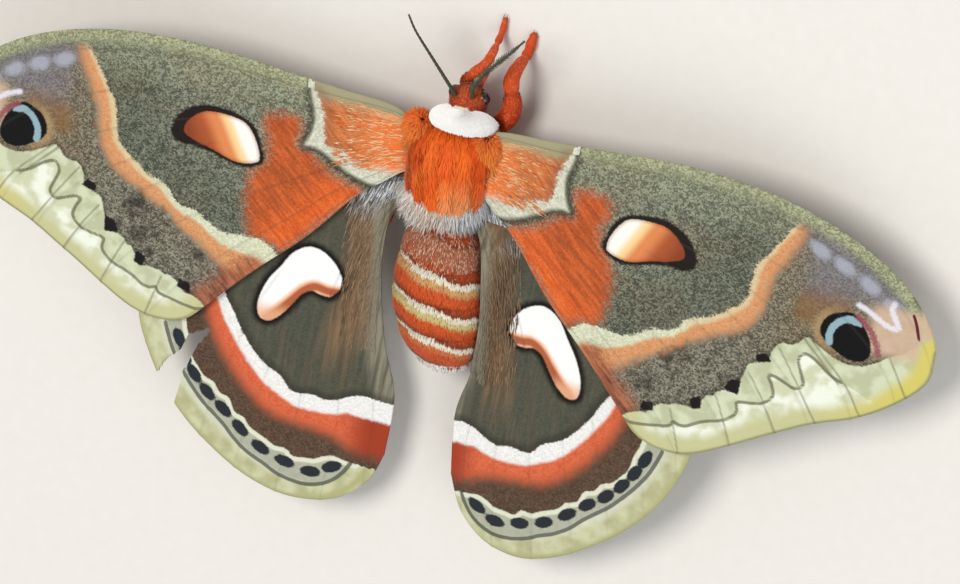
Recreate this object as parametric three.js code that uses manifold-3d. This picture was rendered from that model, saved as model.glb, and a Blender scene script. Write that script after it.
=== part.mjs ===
// Cecropia moth, a female at life size, standing with her wings spread.
// Millimetres, +Z up. While it is being built her back is on x = 0, her head points along +Y
// and her feet stand on z = 0. At the end the model moves so that its origin is the middle
// of its box, at floor level.

import * as THREE from "three";
import { mergeVertices } from "three/addons/utils/BufferGeometryUtils.js";
import Module from "manifold-3d";

const wasm = await Module();
wasm.setup();

// Driving dimensions
const GAP = 0.3; // between two neighbouring parts
const MEMBRANE = 0.5; // thickness of a wing between its veins
const VEIN_RISE = 0.2; // how far a vein stands out of each face
const VEIN_WIDTH = 0.9; // width of a vein at the wing's margin
const WING_ROOT_HEIGHT = 9; // above the floor, where the wings leave the body
const WING_LIFT = 0.1745; // slope of a wing at its root
const WING_ARCH = 0.0024; // how fast that slope falls off towards the tip
const WING_PITCH = 0.0175; // the front edge is a little higher than the rear
const WINGS_TO_LEFT = 1; // the body leans, so the wings' middle is left of its back
const LAYER_DROP = 1.5; // the hindwing passes this far below the forewing
// Lengths of the body along Y: x and z are the middle line, which turns a little to her right
const THORAX = { x: 0, z: 8.2, front: 9.2, rear: -4.2, halfWidth: 5.4, halfHeight: 4.6, blunt: 2.6 };
const COLLAR = { x: 1.1, z: 9, front: 11.6, rear: 9.5, halfWidth: 4.3, halfHeight: 3.6, blunt: 3 };
const HEAD = { x: 0.9, z: 7, front: 14.3, rear: 10, halfWidth: 2.6, halfHeight: 2.4, blunt: 2.1 };
const ABDOMEN = { z: 7.5, front: -4.5, rear: -27.8, halfWidth: 7.2, halfHeight: 6.2, bluntRear: 2.3 };
const TAIL = { drop: 0.8, turn: 2.1 }; // how far its tip hangs lower, and lies to her right
const RINGS = { first: -6.45, step: 4.85, groove: 0.4, sections: 28 }; // where its segments end
const ABDOMEN_WIDEST = 0.5; // share of its length where the abdomen is widest
const ABDOMEN_SHOULDER = 0.2; // how gently it widens towards there; smaller is blunter
const EYE = { apart: 2, y: 13, z: 6.9, radius: 1.1 };
const ANTENNA = { shaft: 0.34, taper: 0.35, rings: 14 };
const COMB = { branches: 10, first: 0.14, span: 0.8, reach: 1.5, radius: 0.3, taper: 0.75, lean: 0.35 };
const LOCKS = { rows: 6, across: 8, length: 4.4, halfWidth: 0.95, halfThickness: 0.34, lift: 1.9 };
const LOCK_ROWS = { afterFront: 1.6, beforeRear: 2.8 }; // along Y, from the ends of the thorax
const COLLAR_LOCKS = { across: 13, length: 1.9, halfWidth: 0.8, halfThickness: 0.36, lift: 0.4 };
const LOCKS_REACH = 1.02; // angle from the top down to the lowest lock of the back
const COLLAR_LOCKS_REACH = 1.4; // and of the ruff
const LOCK_SUNK = 0.9; // depth of a lock's root in the body
const LOCK_FLARE = 0.5; // how far the locks of the sides turn outwards
const SOLE = 0.4; // height of a foot's middle line above the floor

// Outlines of the right wings seen from above, x away from the back and y towards the head
const FOREWING = {
  costa: [[3.6, 7], [7.4, 9.8], [16, 11], [29.5, 12.6], [37, 13], [46, 12.3], [54, 10.3], [61, 7.2],
    [67, 2.8], [70.6, -2], [71.9, -5.6]],
  margin: [[71.9, -5.6], [71.4, -10], [68.2, -13.7], [62.4, -17.5], [55.4, -20.4],
    [46.2, -25.7], [40.5, -28.5], [36.2, -29], [33.2, -28], [31.5, -26.5]],
  inner: [[3.6, 2], [8, -1.6], [11.8, -4.9], [17.3, -11.6], [24.5, -18.8], [31.5, -26.5]],
  veins: [0.06, 0.2, 0.33, 0.45, 0.55, 0.685, 0.84, 0.95],
  cellVeins: [0.33, 0.45, 0.55],
  rows: 12,
  drop: 0,
};
const HINDWING = {
  costa: [[3.6, 0.4], [14, 0.6], [24, -3], [33, -10], [39.3, -20], [41, -27]],
  margin: [[41, -27], [39.8, -32], [36.6, -38.6], [31.5, -44.4], [25.8, -48.8], [20, -51.5],
    [15.6, -52.2], [10.8, -51], [6.9, -47.6], [5, -43]],
  inner: [[3.6, -3.2], [6.6, -6.6], [7.4, -13], [7.1, -20], [6.1, -27], [4.5, -34], [5, -43]],
  veins: [0.13, 0.28, 0.41, 0.53, 0.65, 0.77, 0.89],
  cellVeins: [0.41, 0.53],
  rows: 11,
  drop: LAYER_DROP,
};
const CELL_END = 0.46; // the veins of the middle start at this share of the wing's length
const INNER_SHIFT = 1.2; // the right hindwing lies this far out, and the left one as far in
const SHIFT_RANGE = { left: [10, 26], right: [6, 14] }; // where that starts, and its length
// The inner part of the right hindwing rises, to lie on the side of the abdomen
const FLANK = { rise: 2.6, outer: 12.5, width: 4.5, front: -4, rear: -27 };
const TEAR = [[29.8, -29.3], [32.8, -31.1], [33.6, -33.3], [36, -36.1], [37.5, -39.2],
  [42, -43], [36, -47], [34.1, -42.6], [33.9, -40.2], [33.2, -36.4], [31.7, -32.4]];

// Middle lines of the legs: hip, thigh, knee, ankle, foot, with the radius at each
const LEG_RADII = [1.3, 1.35, 1.25, 0.75, 0.6];
const LEG = { rings: 18, sides: 10, rounding: 6, hip: 0.4 };
const FORELEG_LEFT = [[-1.8, 7, 5.6], [-0.6, 11.6, 2.7], [2.4, 17.8, 6.2], [2.5, 20.2, 0.6],
  [2.6, 22.5, SOLE]];
const FORELEG_RIGHT = [[2.6, 6.6, 5.6], [6.3, 10.8, 4.8], [6.4, 16.6, 6.4], [6.5, 18.5, 0.6],
  [6.9, 20.9, SOLE]];
const MIDLEG = [[2.5, 2.2, 6], [7, 2.6, 5.2], [9.8, 2.9, 6.2], [11.6, 3, 0.6],
  [14.4, 3.2, SOLE]];
const HINDLEG = [[2.2, -0.8, 6], [7.6, -4.4, 4], [9.6, -9.4, 4.4], [11, -13.8, 0.6],
  [12.2, -17.2, SOLE]];
const ANTENNA_LEFT = [[-0.4, 12.9, 8.4], [-1.2, 15.4, 10.4], [-3.6, 19, 11.5], [-6.4, 22, 11.2],
  [-7.9, 23.9, 10.6]];
const ANTENNA_RIGHT = [[1.9, 13.2, 8.4], [2.4, 15.6, 10.4], [4.4, 19, 11.4], [7, 22, 10.9],
  [8.6, 24, 10.2]];
const COMB_LEAN = new THREE.Vector3(0.26, 0.41, 0.87); // way that the comb's branches point

const UP = new THREE.Vector3(0, 0, 1);
const COLOURS = {
  orange: 0xc4491d,
  white: 0xeee8e0,
  rust: 0xa8512c,
  wing: 0x74675a,
  hindwing: 0x5c4b42,
  black: 0x1a1614,
  dark: 0x3b362f,
};

// Seeded draws, so that the coat is the same on every run
let seed = 7;
function random() {
  seed = (seed * 16807) % 2147483647;
  return seed / 2147483647;
}

function vary(amount) {
  return (random() * 2 - 1) * amount;
}

function points3(list) {
  return list.map(([x, y, z]) => new THREE.Vector3(x, y, z));
}

function mirrored(list) {
  return list.map(([x, y, z]) => [-x, y, z]);
}

// Solids

function signedVolume(position, index) {
  const [a, b, c] = [new THREE.Vector3(), new THREE.Vector3(), new THREE.Vector3()];
  let volume = 0;
  for (let i = 0; i < index.length; i += 3) {
    a.fromArray(position, index[i] * 3);
    b.fromArray(position, index[i + 1] * 3);
    c.fromArray(position, index[i + 2] * 3);
    volume += a.dot(b.cross(c)) / 6;
  }
  return volume;
}

// A closed geometry from corner points and triangles, with its faces turned outwards
function closedGeometry(position, index) {
  if (signedVolume(position, index) < 0) index.reverse();
  const geometry = new THREE.BufferGeometry();
  geometry.setAttribute("position", new THREE.Float32BufferAttribute(position, 3));
  geometry.setIndex(index);
  return geometry;
}

// A body of oval rings along a curve, closed to a point at both ends.
// stations are the shares of the curve's length where the rings are.
function loft(curve, stations, sides, widthAt, thicknessAt, up = UP) {
  const position = [];
  const index = [];
  const put = (p) => position.push(p.x, p.y, p.z);
  put(curve.getPoint(0));
  for (const t of stations) {
    const middle = curve.getPoint(t);
    const along = curve.getTangent(t);
    const across = new THREE.Vector3().crossVectors(along, up).normalize();
    const over = new THREE.Vector3().crossVectors(across, along);
    for (let i = 0; i < sides; i++) {
      const angle = (i / sides) * Math.PI * 2;
      const p = middle.clone();
      p.addScaledVector(across, Math.cos(angle) * widthAt(t));
      p.addScaledVector(over, Math.sin(angle) * thicknessAt(t));
      put(p);
    }
  }
  put(curve.getPoint(1));
  const last = position.length / 3 - 1;
  for (let i = 0; i < sides; i++) {
    const next = (i + 1) % sides;
    index.push(0, 1 + i, 1 + next);
    for (let j = 0; j < stations.length - 1; j++) {
      const low = 1 + j * sides;
      const high = low + sides;
      index.push(low + i, high + i, high + next, low + i, high + next, low + next);
    }
    const ring = last - sides;
    index.push(last, ring + next, ring + i);
  }
  return closedGeometry(position, index);
}

function toSolid(geometry) {
  const bare = geometry.clone();
  for (const name of ["normal", "uv"]) bare.deleteAttribute(name);
  const merged = mergeVertices(bare, 1e-4);
  const mesh = new wasm.Mesh({
    numProp: 3,
    vertProperties: new Float32Array(merged.attributes.position.array),
    triVerts: new Uint32Array(merged.index.array),
  });
  mesh.merge();
  return new wasm.Manifold(mesh);
}

// The largest closed surface of a solid, as a geometry
function largestGeometry(solid) {
  const pieces = solid.decompose();
  pieces.sort((a, b) => b.volume() - a.volume());
  const mesh = pieces[0].getMesh();
  const position = [];
  for (let i = 0; i < mesh.vertProperties.length; i += mesh.numProp) {
    position.push(...mesh.vertProperties.slice(i, i + 3));
  }
  return closedGeometry(position, Array.from(mesh.triVerts));
}

function evenStations(count, round = 1) {
  const stations = [];
  for (let i = 1; i < count; i++) {
    const t = i / count;
    stations.push(round === 1 ? t : (1 - Math.cos(Math.PI * t)) / 2);
  }
  return stations;
}

// Body: egg-shaped lengths along +Y

function eggShare(t, blunt) {
  return Math.pow(Math.max(0, 1 - Math.pow(Math.abs(2 * t - 1), blunt)), 1 / blunt);
}

function bodyLength(size, sides, rings, grow = 0) {
  const curve = new THREE.LineCurve3(
    new THREE.Vector3(size.x, size.rear - grow, size.z),
    new THREE.Vector3(size.x, size.front + grow, size.z),
  );
  return loft(
    curve,
    evenStations(rings, 2),
    sides,
    (t) => (size.halfWidth + grow) * eggShare(t, size.blunt),
    (t) => (size.halfHeight + grow) * eggShare(t, size.blunt),
  );
}

function thoraxCore(grow = 0) {
  return bodyLength(THORAX, 20, 10, grow);
}

function collarCore(grow = 0) {
  return bodyLength(COLLAR, 18, 6, grow);
}

function headCore(grow = 0) {
  return bodyLength(HEAD, 16, 10, grow);
}

function abdomenBody(grow = 0) {
  const curve = new THREE.QuadraticBezierCurve3(
    new THREE.Vector3(0, ABDOMEN.front + grow, ABDOMEN.z),
    new THREE.Vector3(0, (ABDOMEN.front + ABDOMEN.rear) / 2, ABDOMEN.z),
    new THREE.Vector3(TAIL.turn, ABDOMEN.rear - grow, ABDOMEN.z - TAIL.drop),
  );
  const reachAt = (half) => (t) => {
    const shoulder = Math.min(t / ABDOMEN_WIDEST, 1);
    const tail = Math.max((t - ABDOMEN_WIDEST) / (1 - ABDOMEN_WIDEST), 0);
    const egg = Math.pow(shoulder, ABDOMEN_SHOULDER) * eggShare(0.5 + tail / 2, ABDOMEN.bluntRear);
    const y = THREE.MathUtils.lerp(ABDOMEN.front, ABDOMEN.rear, t);
    const ring = Math.abs(Math.sin((Math.PI * (y - RINGS.first)) / RINGS.step));
    return (half - RINGS.groove * (1 - Math.sqrt(ring))) * egg + grow;
  };
  const stations = evenStations(RINGS.sections);
  return loft(curve, stations, 20, reachAt(ABDOMEN.halfWidth), reachAt(ABDOMEN.halfHeight));
}

// Wings

function arcSpline(list) {
  const curve = new THREE.SplineCurve(list.map(([x, y]) => new THREE.Vector2(x, y)));
  curve.arcLengthDivisions = 400;
  return curve;
}

function wingHeight(x, y, drop) {
  const out = x - 6;
  return WING_ROOT_HEIGHT + WING_LIFT * out + WING_PITCH * y - WING_ARCH * out * out - drop;
}

function clampShare(value) {
  return Math.min(Math.max(value, 0), 1);
}

function flankRise(x, y) {
  const near = clampShare((FLANK.outer - x) / FLANK.width);
  const along = Math.sin(Math.PI * clampShare((FLANK.front - y) / (FLANK.front - FLANK.rear)));
  return FLANK.rise * near * near * (3 - 2 * near) * Math.sqrt(along);
}

// A wing is a fan of lines from its root to its margin. u runs from the front edge to the
// rear edge and t from the root to the margin; the four edges are blended in between.
function wingPoint(edges, u, t) {
  const front = edges.costa.getPointAt(t);
  const rear = edges.inner.getPointAt(t);
  const outer = edges.margin.getPointAt(u);
  const p = front.multiplyScalar(1 - u).addScaledVector(rear, u).addScaledVector(outer, t);
  p.addScaledVector(edges.apex, -t * (1 - u));
  return p.addScaledVector(edges.corner, -t * u);
}

function wingEdges(wing, side) {
  const [start, span] = side > 0 ? SHIFT_RANGE.right : SHIFT_RANGE.left;
  const shifted = (list, amount) => list.map(([x, y]) => [x + amount * clampShare((-y - start) / span), y]);
  const tuck = wing === HINDWING ? side * INNER_SHIFT : 0;
  const margin = wing.margin.map(([x, y]) => {
    return [x + tuck * clampShare((24 - x) / 14), y];
  });
  const costa = arcSpline(wing.costa);
  const inner = arcSpline(shifted(wing.inner, tuck));
  const outer = arcSpline(margin);
  return {
    costa,
    inner,
    margin: outer,
    apex: outer.getPoint(0),
    corner: outer.getPoint(1),
  };
}

// Columns of the fan: each vein has its crest and two feet, with one line between veins
function wingColumns(wing, marginLength) {
  const half = VEIN_WIDTH / 2 / marginLength;
  const columns = [{ u: 0, vein: false }];
  let last = 0;
  for (const vein of wing.veins) {
    columns.push({ u: (last + vein) / 2, vein: false });
    columns.push({ u: vein - half, vein: false });
    columns.push({ u: vein, vein: true, inCell: wing.cellVeins.includes(vein) });
    columns.push({ u: vein + half, vein: false });
    last = vein;
  }
  columns.push({ u: (last + 1) / 2, vein: false });
  columns.push({ u: 1, vein: false });
  return columns;
}

function wingGeometry(wing, side) {
  const edges = wingEdges(wing, side);
  const columns = wingColumns(wing, edges.margin.getLength());
  const faces = [[], []];
  for (const column of columns) {
    for (let row = 0; row <= wing.rows; row++) {
      const t = row / wing.rows;
      const flat = wingPoint(edges, column.u, t);
      const x = side * flat.x - WINGS_TO_LEFT;
      const onFlank = wing === HINDWING && side > 0;
      const z = wingHeight(flat.x, flat.y, wing.drop) + (onFlank ? flankRise(flat.x, flat.y) : 0);
      const starts = column.inCell ? CELL_END : 0;
      const crest = column.vein && t >= starts ? VEIN_RISE * (1 - 0.5 * t) : 0;
      faces[0].push([x, flat.y, z + MEMBRANE / 2 + crest]);
      faces[1].push([x, flat.y, z - MEMBRANE / 2 - crest]);
    }
  }
  const ring = wing.rows + 1;
  const count = columns.length * ring;
  const position = faces.flat(2);
  const index = [];
  const quad = (a, b, c, d) => index.push(a, b, c, a, c, d);
  for (let i = 0; i < columns.length - 1; i++) {
    for (let j = 0; j < wing.rows; j++) {
      const a = i * ring + j;
      quad(a, a + ring, a + ring + 1, a + 1);
      index.push(count + a, count + a + ring + 1, count + a + ring);
      index.push(count + a, count + a + 1, count + a + ring + 1);
    }
    for (const j of [0, wing.rows]) {
      const a = i * ring + j;
      if (j === 0) quad(a, count + a, count + a + ring, a + ring);
      else quad(a, a + ring, count + a + ring, count + a);
    }
  }
  for (let j = 0; j < wing.rows; j++) {
    const first = j;
    const last = (columns.length - 1) * ring + j;
    quad(first, first + 1, count + first + 1, count + first);
    quad(last, count + last, count + last + 1, last + 1);
  }
  return closedGeometry(position, index);
}

// A wing cut back to the faces of the body that it grows from
function wingSolid(wing, side) {
  return toSolid(wingGeometry(wing, side))
    .subtract(toSolid(thoraxCore(GAP)))
    .subtract(toSolid(collarCore(GAP)))
    .subtract(toSolid(abdomenBody(GAP)));
}

// The frayed slit near the corner of the left hindwing, as an upright prism
function tearPrism() {
  const outline = TEAR.map(([x, y]) => new THREE.Vector2(-x - WINGS_TO_LEFT, y));
  const depth = 2 * WING_ROOT_HEIGHT;
  return new THREE.ExtrudeGeometry(new THREE.Shape(outline), { depth, bevelEnabled: false });
}

// Legs, feelers and coat

function leg(path) {
  const curve = new THREE.CatmullRomCurve3(points3(path));
  const radiusAt = (t) => {
    const place = t * (LEG_RADII.length - 1);
    const low = Math.min(Math.floor(place), LEG_RADII.length - 2);
    const rounding = Math.min(1, LEG.rounding * (1 - t), LEG.rounding * t + LEG.hip);
    return THREE.MathUtils.lerp(LEG_RADII[low], LEG_RADII[low + 1], place - low) * rounding;
  };
  const geometry = loft(curve, evenStations(LEG.rings), LEG.sides, radiusAt, radiusAt);
  const place = geometry.attributes.position;
  for (let i = 0; i < place.count; i++) place.setZ(i, Math.max(place.getZ(i), 0));
  return toSolid(geometry)
    .subtract(toSolid(thoraxCore(GAP)))
    .subtract(toSolid(abdomenBody(GAP)))
    .subtract(toSolid(collarCore(GAP)))
    .subtract(toSolid(headCore(GAP)));
}

function antenna(side) {
  const curve = new THREE.CatmullRomCurve3(points3(side > 0 ? ANTENNA_RIGHT : ANTENNA_LEFT));
  const thin = (t) => ANTENNA.shaft * (1 - ANTENNA.taper * t);
  let solid = toSolid(loft(curve, evenStations(ANTENNA.rings), 6, thin, thin));
  for (let i = 0; i < COMB.branches; i++) {
    const t = COMB.first + (COMB.span * i) / (COMB.branches - 1);
    const root = curve.getPoint(t);
    const along = curve.getTangent(t);
    const reach = COMB.reach * (0.55 + 0.45 * Math.sin(Math.PI * t));
    for (const way of [1, -1]) {
      const outward = COMB_LEAN.clone().multiplyScalar(way).addScaledVector(along, COMB.lean);
      outward.normalize();
      const start = root.clone().addScaledVector(outward, -0.1);
      const tip = root.clone().addScaledVector(outward, reach);
      const line = new THREE.LineCurve3(start, tip);
      const taper = (s) => COMB.radius * (1 - COMB.taper * s);
      solid = solid.add(toSolid(loft(line, [0.1, 0.94], 3, taper, taper, along)));
    }
  }
  return solid.subtract(toSolid(headCore(GAP)));
}

// One flat tapered lock from a root point, lying along a way and rising off the body
function lock(root, outward, way, size) {
  const scale = 1 + vary(0.18);
  const reach = size.length * scale;
  const curve = new THREE.QuadraticBezierCurve3(
    root.clone().addScaledVector(outward, -LOCK_SUNK),
    root.clone().addScaledVector(outward, size.lift).addScaledVector(way, reach * 0.35),
    root.clone().addScaledVector(outward, size.lift * 0.75).addScaledVector(way, reach),
  );
  const spread = (t) => (t < 0.3 ? 0.75 + 0.25 * (t / 0.3) : Math.pow(1 - (t - 0.3) / 0.78, 0.8));
  return toSolid(
    loft(
      curve,
      [0.03, 0.4, 0.85],
      4,
      (t) => size.halfWidth * spread(t),
      (t) => size.halfThickness * spread(t),
      outward,
    ),
  );
}

// A place on the surface of a length of the body, at an angle from its top
function onCore(size, y, angle) {
  const share = eggShare((y - size.rear) / (size.front - size.rear), size.blunt);
  const outward = new THREE.Vector3(
    Math.sin(angle) / size.halfWidth,
    0,
    Math.cos(angle) / size.halfHeight,
  ).normalize();
  const root = new THREE.Vector3(
    size.x + Math.sin(angle) * size.halfWidth * share,
    y,
    size.z + Math.cos(angle) * size.halfHeight * share,
  );
  return { root, outward };
}

// The shaggy coat of the back, lying towards the tail
function thoraxSolid() {
  let solid = toSolid(thoraxCore());
  const firstRow = THORAX.front - LOCK_ROWS.afterFront;
  const rowStep = (firstRow - THORAX.rear - LOCK_ROWS.beforeRear) / (LOCKS.rows - 1);
  for (let row = 0; row < LOCKS.rows; row++) {
    for (let i = 0; i < LOCKS.across; i++) {
      const share = (i + (row % 2) * 0.5) / (LOCKS.across - 0.5);
      const angle = (share * 2 - 1) * LOCKS_REACH + vary(0.04);
      const place = onCore(THORAX, firstRow - row * rowStep + vary(0.3), angle);
      const way = new THREE.Vector3(Math.sin(angle) * LOCK_FLARE + vary(0.12), -1, vary(0.08));
      solid = solid.add(lock(place.root, place.outward, way.normalize(), LOCKS));
    }
  }
  return solid.subtract(toSolid(abdomenBody(GAP)));
}

// The pale ruff behind the head, its locks standing up all round
function collarSolid() {
  let solid = toSolid(collarCore());
  for (let i = 0; i < COLLAR_LOCKS.across; i++) {
    const angle = ((i / (COLLAR_LOCKS.across - 1)) * 2 - 1) * COLLAR_LOCKS_REACH;
    const y = (COLLAR.front + COLLAR.rear) / 2 + (i % 2 ? 0.35 : -0.1);
    const place = onCore(COLLAR, y, angle);
    const way = place.outward.clone().add(new THREE.Vector3(vary(0.2), 0.4, 0));
    solid = solid.add(lock(place.root, place.outward, way.normalize(), COLLAR_LOCKS));
  }
  return solid.subtract(toSolid(thoraxCore(GAP)));
}

function eyeBall(side, grow = 0) {
  const ball = new THREE.SphereGeometry(EYE.radius + grow, 14, 9);
  return ball.translate(HEAD.x + side * EYE.apart, EYE.y, EYE.z);
}

// The whole moth

const model = new THREE.Group();

function addPart(name, geometry, colour, roughness = 0.85) {
  const material = new THREE.MeshStandardMaterial({ color: colour, roughness, metalness: 0 });
  const mesh = new THREE.Mesh(geometry, material);
  mesh.name = name;
  geometry.computeVertexNormals();
  model.add(mesh);
}

const head = toSolid(headCore())
  .subtract(toSolid(collarCore(GAP)))
  .subtract(toSolid(thoraxCore(GAP)))
  .subtract(toSolid(eyeBall(1, GAP)))
  .subtract(toSolid(eyeBall(-1, GAP)));
addPart("head", largestGeometry(head), COLOURS.orange);
addPart("collar", largestGeometry(collarSolid()), COLOURS.white);
addPart("thorax", largestGeometry(thoraxSolid()), COLOURS.orange);
addPart("abdomen", abdomenBody(), COLOURS.rust);

for (const [name, side] of [["left", -1], ["right", 1]]) {
  addPart(`eye_${name}`, eyeBall(side), COLOURS.black, 0.3);
  addPart(`antenna_${name}`, largestGeometry(antenna(side)), COLOURS.dark);
  addPart(`forewing_${name}`, largestGeometry(wingSolid(FOREWING, side)), COLOURS.wing);
  const turned = (path) => (side > 0 ? path : mirrored(path));
  const foreleg = side > 0 ? FORELEG_RIGHT : FORELEG_LEFT;
  addPart(`foreleg_${name}`, largestGeometry(leg(foreleg)), COLOURS.orange);
  addPart(`midleg_${name}`, largestGeometry(leg(turned(MIDLEG))), COLOURS.orange);
  addPart(`hindleg_${name}`, largestGeometry(leg(turned(HINDLEG))), COLOURS.orange);
}
addPart("hindwing_right", largestGeometry(wingSolid(HINDWING, 1)), COLOURS.hindwing);
const torn = wingSolid(HINDWING, -1).subtract(toSolid(tearPrism()));
addPart("hindwing_left", largestGeometry(torn), COLOURS.hindwing);

const box = new THREE.Box3().setFromObject(model);
const middle = box.getCenter(new THREE.Vector3());
model.position.set(-middle.x, -middle.y, -box.min.z);

export default model;
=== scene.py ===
"""A female cecropia moth with spread wings: patterned wings, furry body, combed feelers.

Lengths in this file are millimetres on the moth, x to her right of the wings' middle line,
y towards her head, z up from the floor, and become metres only when a mesh is made.
"""
import math
from functools import cache

import bpy
import numpy as np
from mathutils import Matrix, Vector


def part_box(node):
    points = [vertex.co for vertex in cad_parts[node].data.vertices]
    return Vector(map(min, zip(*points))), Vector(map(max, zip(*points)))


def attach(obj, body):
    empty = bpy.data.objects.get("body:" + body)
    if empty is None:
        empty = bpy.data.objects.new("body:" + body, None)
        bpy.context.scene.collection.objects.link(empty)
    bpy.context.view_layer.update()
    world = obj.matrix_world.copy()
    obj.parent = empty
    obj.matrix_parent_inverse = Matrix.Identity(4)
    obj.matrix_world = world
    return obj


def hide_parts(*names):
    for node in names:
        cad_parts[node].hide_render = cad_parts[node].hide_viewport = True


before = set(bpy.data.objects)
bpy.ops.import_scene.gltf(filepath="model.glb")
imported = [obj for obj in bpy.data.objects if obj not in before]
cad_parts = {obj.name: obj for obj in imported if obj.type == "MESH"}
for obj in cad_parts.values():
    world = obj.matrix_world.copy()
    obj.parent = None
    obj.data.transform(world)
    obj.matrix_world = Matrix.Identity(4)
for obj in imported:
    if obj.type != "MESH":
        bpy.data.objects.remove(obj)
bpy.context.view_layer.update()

MM = 0.001
rng = np.random.default_rng(11)

# Where the solids are
EYE_Y, EYE_Z = 13.0, 6.9
HEAD_X = 1.9


def box_middle(node):
    low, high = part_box(node)
    return (np.array(low) + np.array(high)) / 2 / MM


eyes_middle = (box_middle("eye_left") + box_middle("eye_right")) / 2
SHIFT = np.array([eyes_middle[0] - HEAD_X, eyes_middle[1] - EYE_Y, eyes_middle[2] - EYE_Z])


def to_row(points):
    """Moth millimetres to metres in the row frame."""
    return (np.asarray(points, float) + SHIFT) * MM


def unit(v):
    v = np.asarray(v, float)
    return v / np.maximum(np.linalg.norm(v, axis=-1, keepdims=True), 1e-12)


# Curves
def spline_points(points, count, closed=False):
    """A smooth curve through points, evenly spaced along its length."""
    p = np.asarray(points, float)
    n = len(p)
    steps = 40
    if closed:
        index = np.arange(n)
        p0, p1, p2, p3 = p[index - 1], p, p[(index + 1) % n], p[(index + 2) % n]
    else:
        index = np.arange(n - 1)
        p0, p1 = p[np.maximum(index - 1, 0)], p[index]
        p2, p3 = p[index + 1], p[np.minimum(index + 2, n - 1)]
    t = (np.arange(steps) / steps)[None, :, None]
    v0, v1 = (p2 - p0)[:, None] / 2, (p3 - p1)[:, None] / 2
    a, b = p1[:, None], p2[:, None]
    q = (2 * a - 2 * b + v0 + v1) * t**3 + (-3 * a + 3 * b - 2 * v0 - v1) * t**2 + v0 * t + a
    q = q.reshape(-1, p.shape[1])
    q = np.vstack([q, p[:1] if closed else p[-1:]])
    length = np.r_[0, np.cumsum(np.linalg.norm(np.diff(q, axis=0), axis=1))]
    s = np.linspace(0, length[-1], count)
    return np.stack([np.interp(s, length, q[:, k]) for k in range(p.shape[1])], 1)


ARC_STEPS = 2000


class Arc:
    """A smooth curve that is read by its share of length."""

    def __init__(self, points):
        self.line = spline_points(points, ARC_STEPS + 1)
        self.length = np.linalg.norm(np.diff(self.line, axis=0), axis=1).sum()

    def at(self, share):
        s = np.clip(np.asarray(share, float), 0, 1) * ARC_STEPS
        return np.stack([np.interp(s, np.arange(ARC_STEPS + 1), self.line[:, k]) for k in (0, 1)], -1)


def line_distance(xy, line):
    """Distance from each point to a line of points, and which side: left of its way is positive."""
    best = np.full(len(xy), 1e9)
    side = np.ones(len(xy))
    for a, b in zip(line[:-1], line[1:]):
        d = b - a
        r = xy - a
        t = np.clip((r @ d) / max(d @ d, 1e-12), 0, 1)
        gap = np.linalg.norm(r - t[:, None] * d, axis=1)
        turn = d[0] * r[:, 1] - d[1] * r[:, 0]
        nearer = gap < best - 1e-9
        best = np.where(nearer, gap, best)
        side = np.where(nearer, np.where(turn >= 0, 1.0, -1.0), side)
    return best, side


def from_line(xy, points, smooth=True):
    """Signed distance to an open line: positive on the left of the line's way."""
    line = spline_points(points, max(12, 6 * len(points))) if smooth else np.asarray(points, float)
    gap, side = line_distance(xy, line)
    return gap * side


def near_line(xy, points):
    return np.abs(from_line(xy, points))


def in_shape(xy, points, smooth=True):
    """Signed distance to a closed outline: negative inside."""
    line = spline_points(points, 8 * len(points), closed=True)
    if not smooth:
        line = np.vstack([points, points[:1]]).astype(float)
    gap, _ = line_distance(xy, line)
    inside = np.zeros(len(xy), bool)
    for a, b in zip(line[:-1], line[1:]):
        crosses = (a[1] > xy[:, 1]) != (b[1] > xy[:, 1])
        rise = b[1] - a[1]
        at = a[0] + (xy[:, 1] - a[1]) * (b[0] - a[0]) / (rise if abs(rise) > 1e-12 else 1e-12)
        inside ^= crosses & (xy[:, 0] < at)
    return np.where(inside, -gap, gap)


def ease(t):
    """From 0 to 1 with a soft start and a soft end."""
    return t * t * (3 - 2 * t)


# Meshes
def new_mesh(name, points, faces):
    mesh = bpy.data.meshes.new(name)
    points = np.asarray(points, np.float32)
    faces = np.asarray(faces, np.int32)
    sides = faces.shape[1]
    mesh.vertices.add(len(points))
    mesh.vertices.foreach_set("co", points.ravel())
    mesh.loops.add(faces.size)
    mesh.loops.foreach_set("vertex_index", faces.ravel())
    mesh.polygons.add(len(faces))
    mesh.polygons.foreach_set("loop_start", np.arange(0, faces.size, sides, dtype=np.int32))
    mesh.polygons.foreach_set("loop_total", np.full(len(faces), sides, np.int32))
    mesh.polygons.foreach_set("use_smooth", np.ones(len(faces), bool))
    mesh.update(calc_edges=True)
    mesh.validate()
    piece = bpy.data.objects.new(name, mesh)
    bpy.context.scene.collection.objects.link(piece)
    return piece


def grid_faces(rows, columns):
    """Four-cornered faces of a grid of points that are numbered row by row."""
    i, j = np.meshgrid(np.arange(rows - 1), np.arange(columns - 1), indexing="ij")
    a = (i * columns + j).ravel()
    return np.c_[a, a + columns, a + columns + 1, a + 1]


def set_normals(piece, normals):
    piece.data.normals_split_custom_set_from_vertices(np.asarray(normals, float).tolist())


def set_value(piece, name, values):
    values = np.asarray(values, np.float32)
    kind = "FLOAT" if values.ndim == 1 else "FLOAT_COLOR"
    attribute = piece.data.attributes.new(name, kind, "POINT")
    if values.ndim == 2:
        values = np.c_[values, np.ones(len(values), np.float32)]
        attribute.data.foreach_set("color", values.ravel())
    else:
        attribute.data.foreach_set("value", values)


def set_bake_map(piece, uv):
    """uv holds one pair for each corner point of the mesh."""
    layer = piece.data.uv_layers.new(name="OFBake")
    corner = np.zeros(len(piece.data.loops), np.int32)
    piece.data.loops.foreach_get("vertex_index", corner)
    layer.data.foreach_set("uv", np.asarray(uv, np.float32)[corner].ravel())


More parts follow.
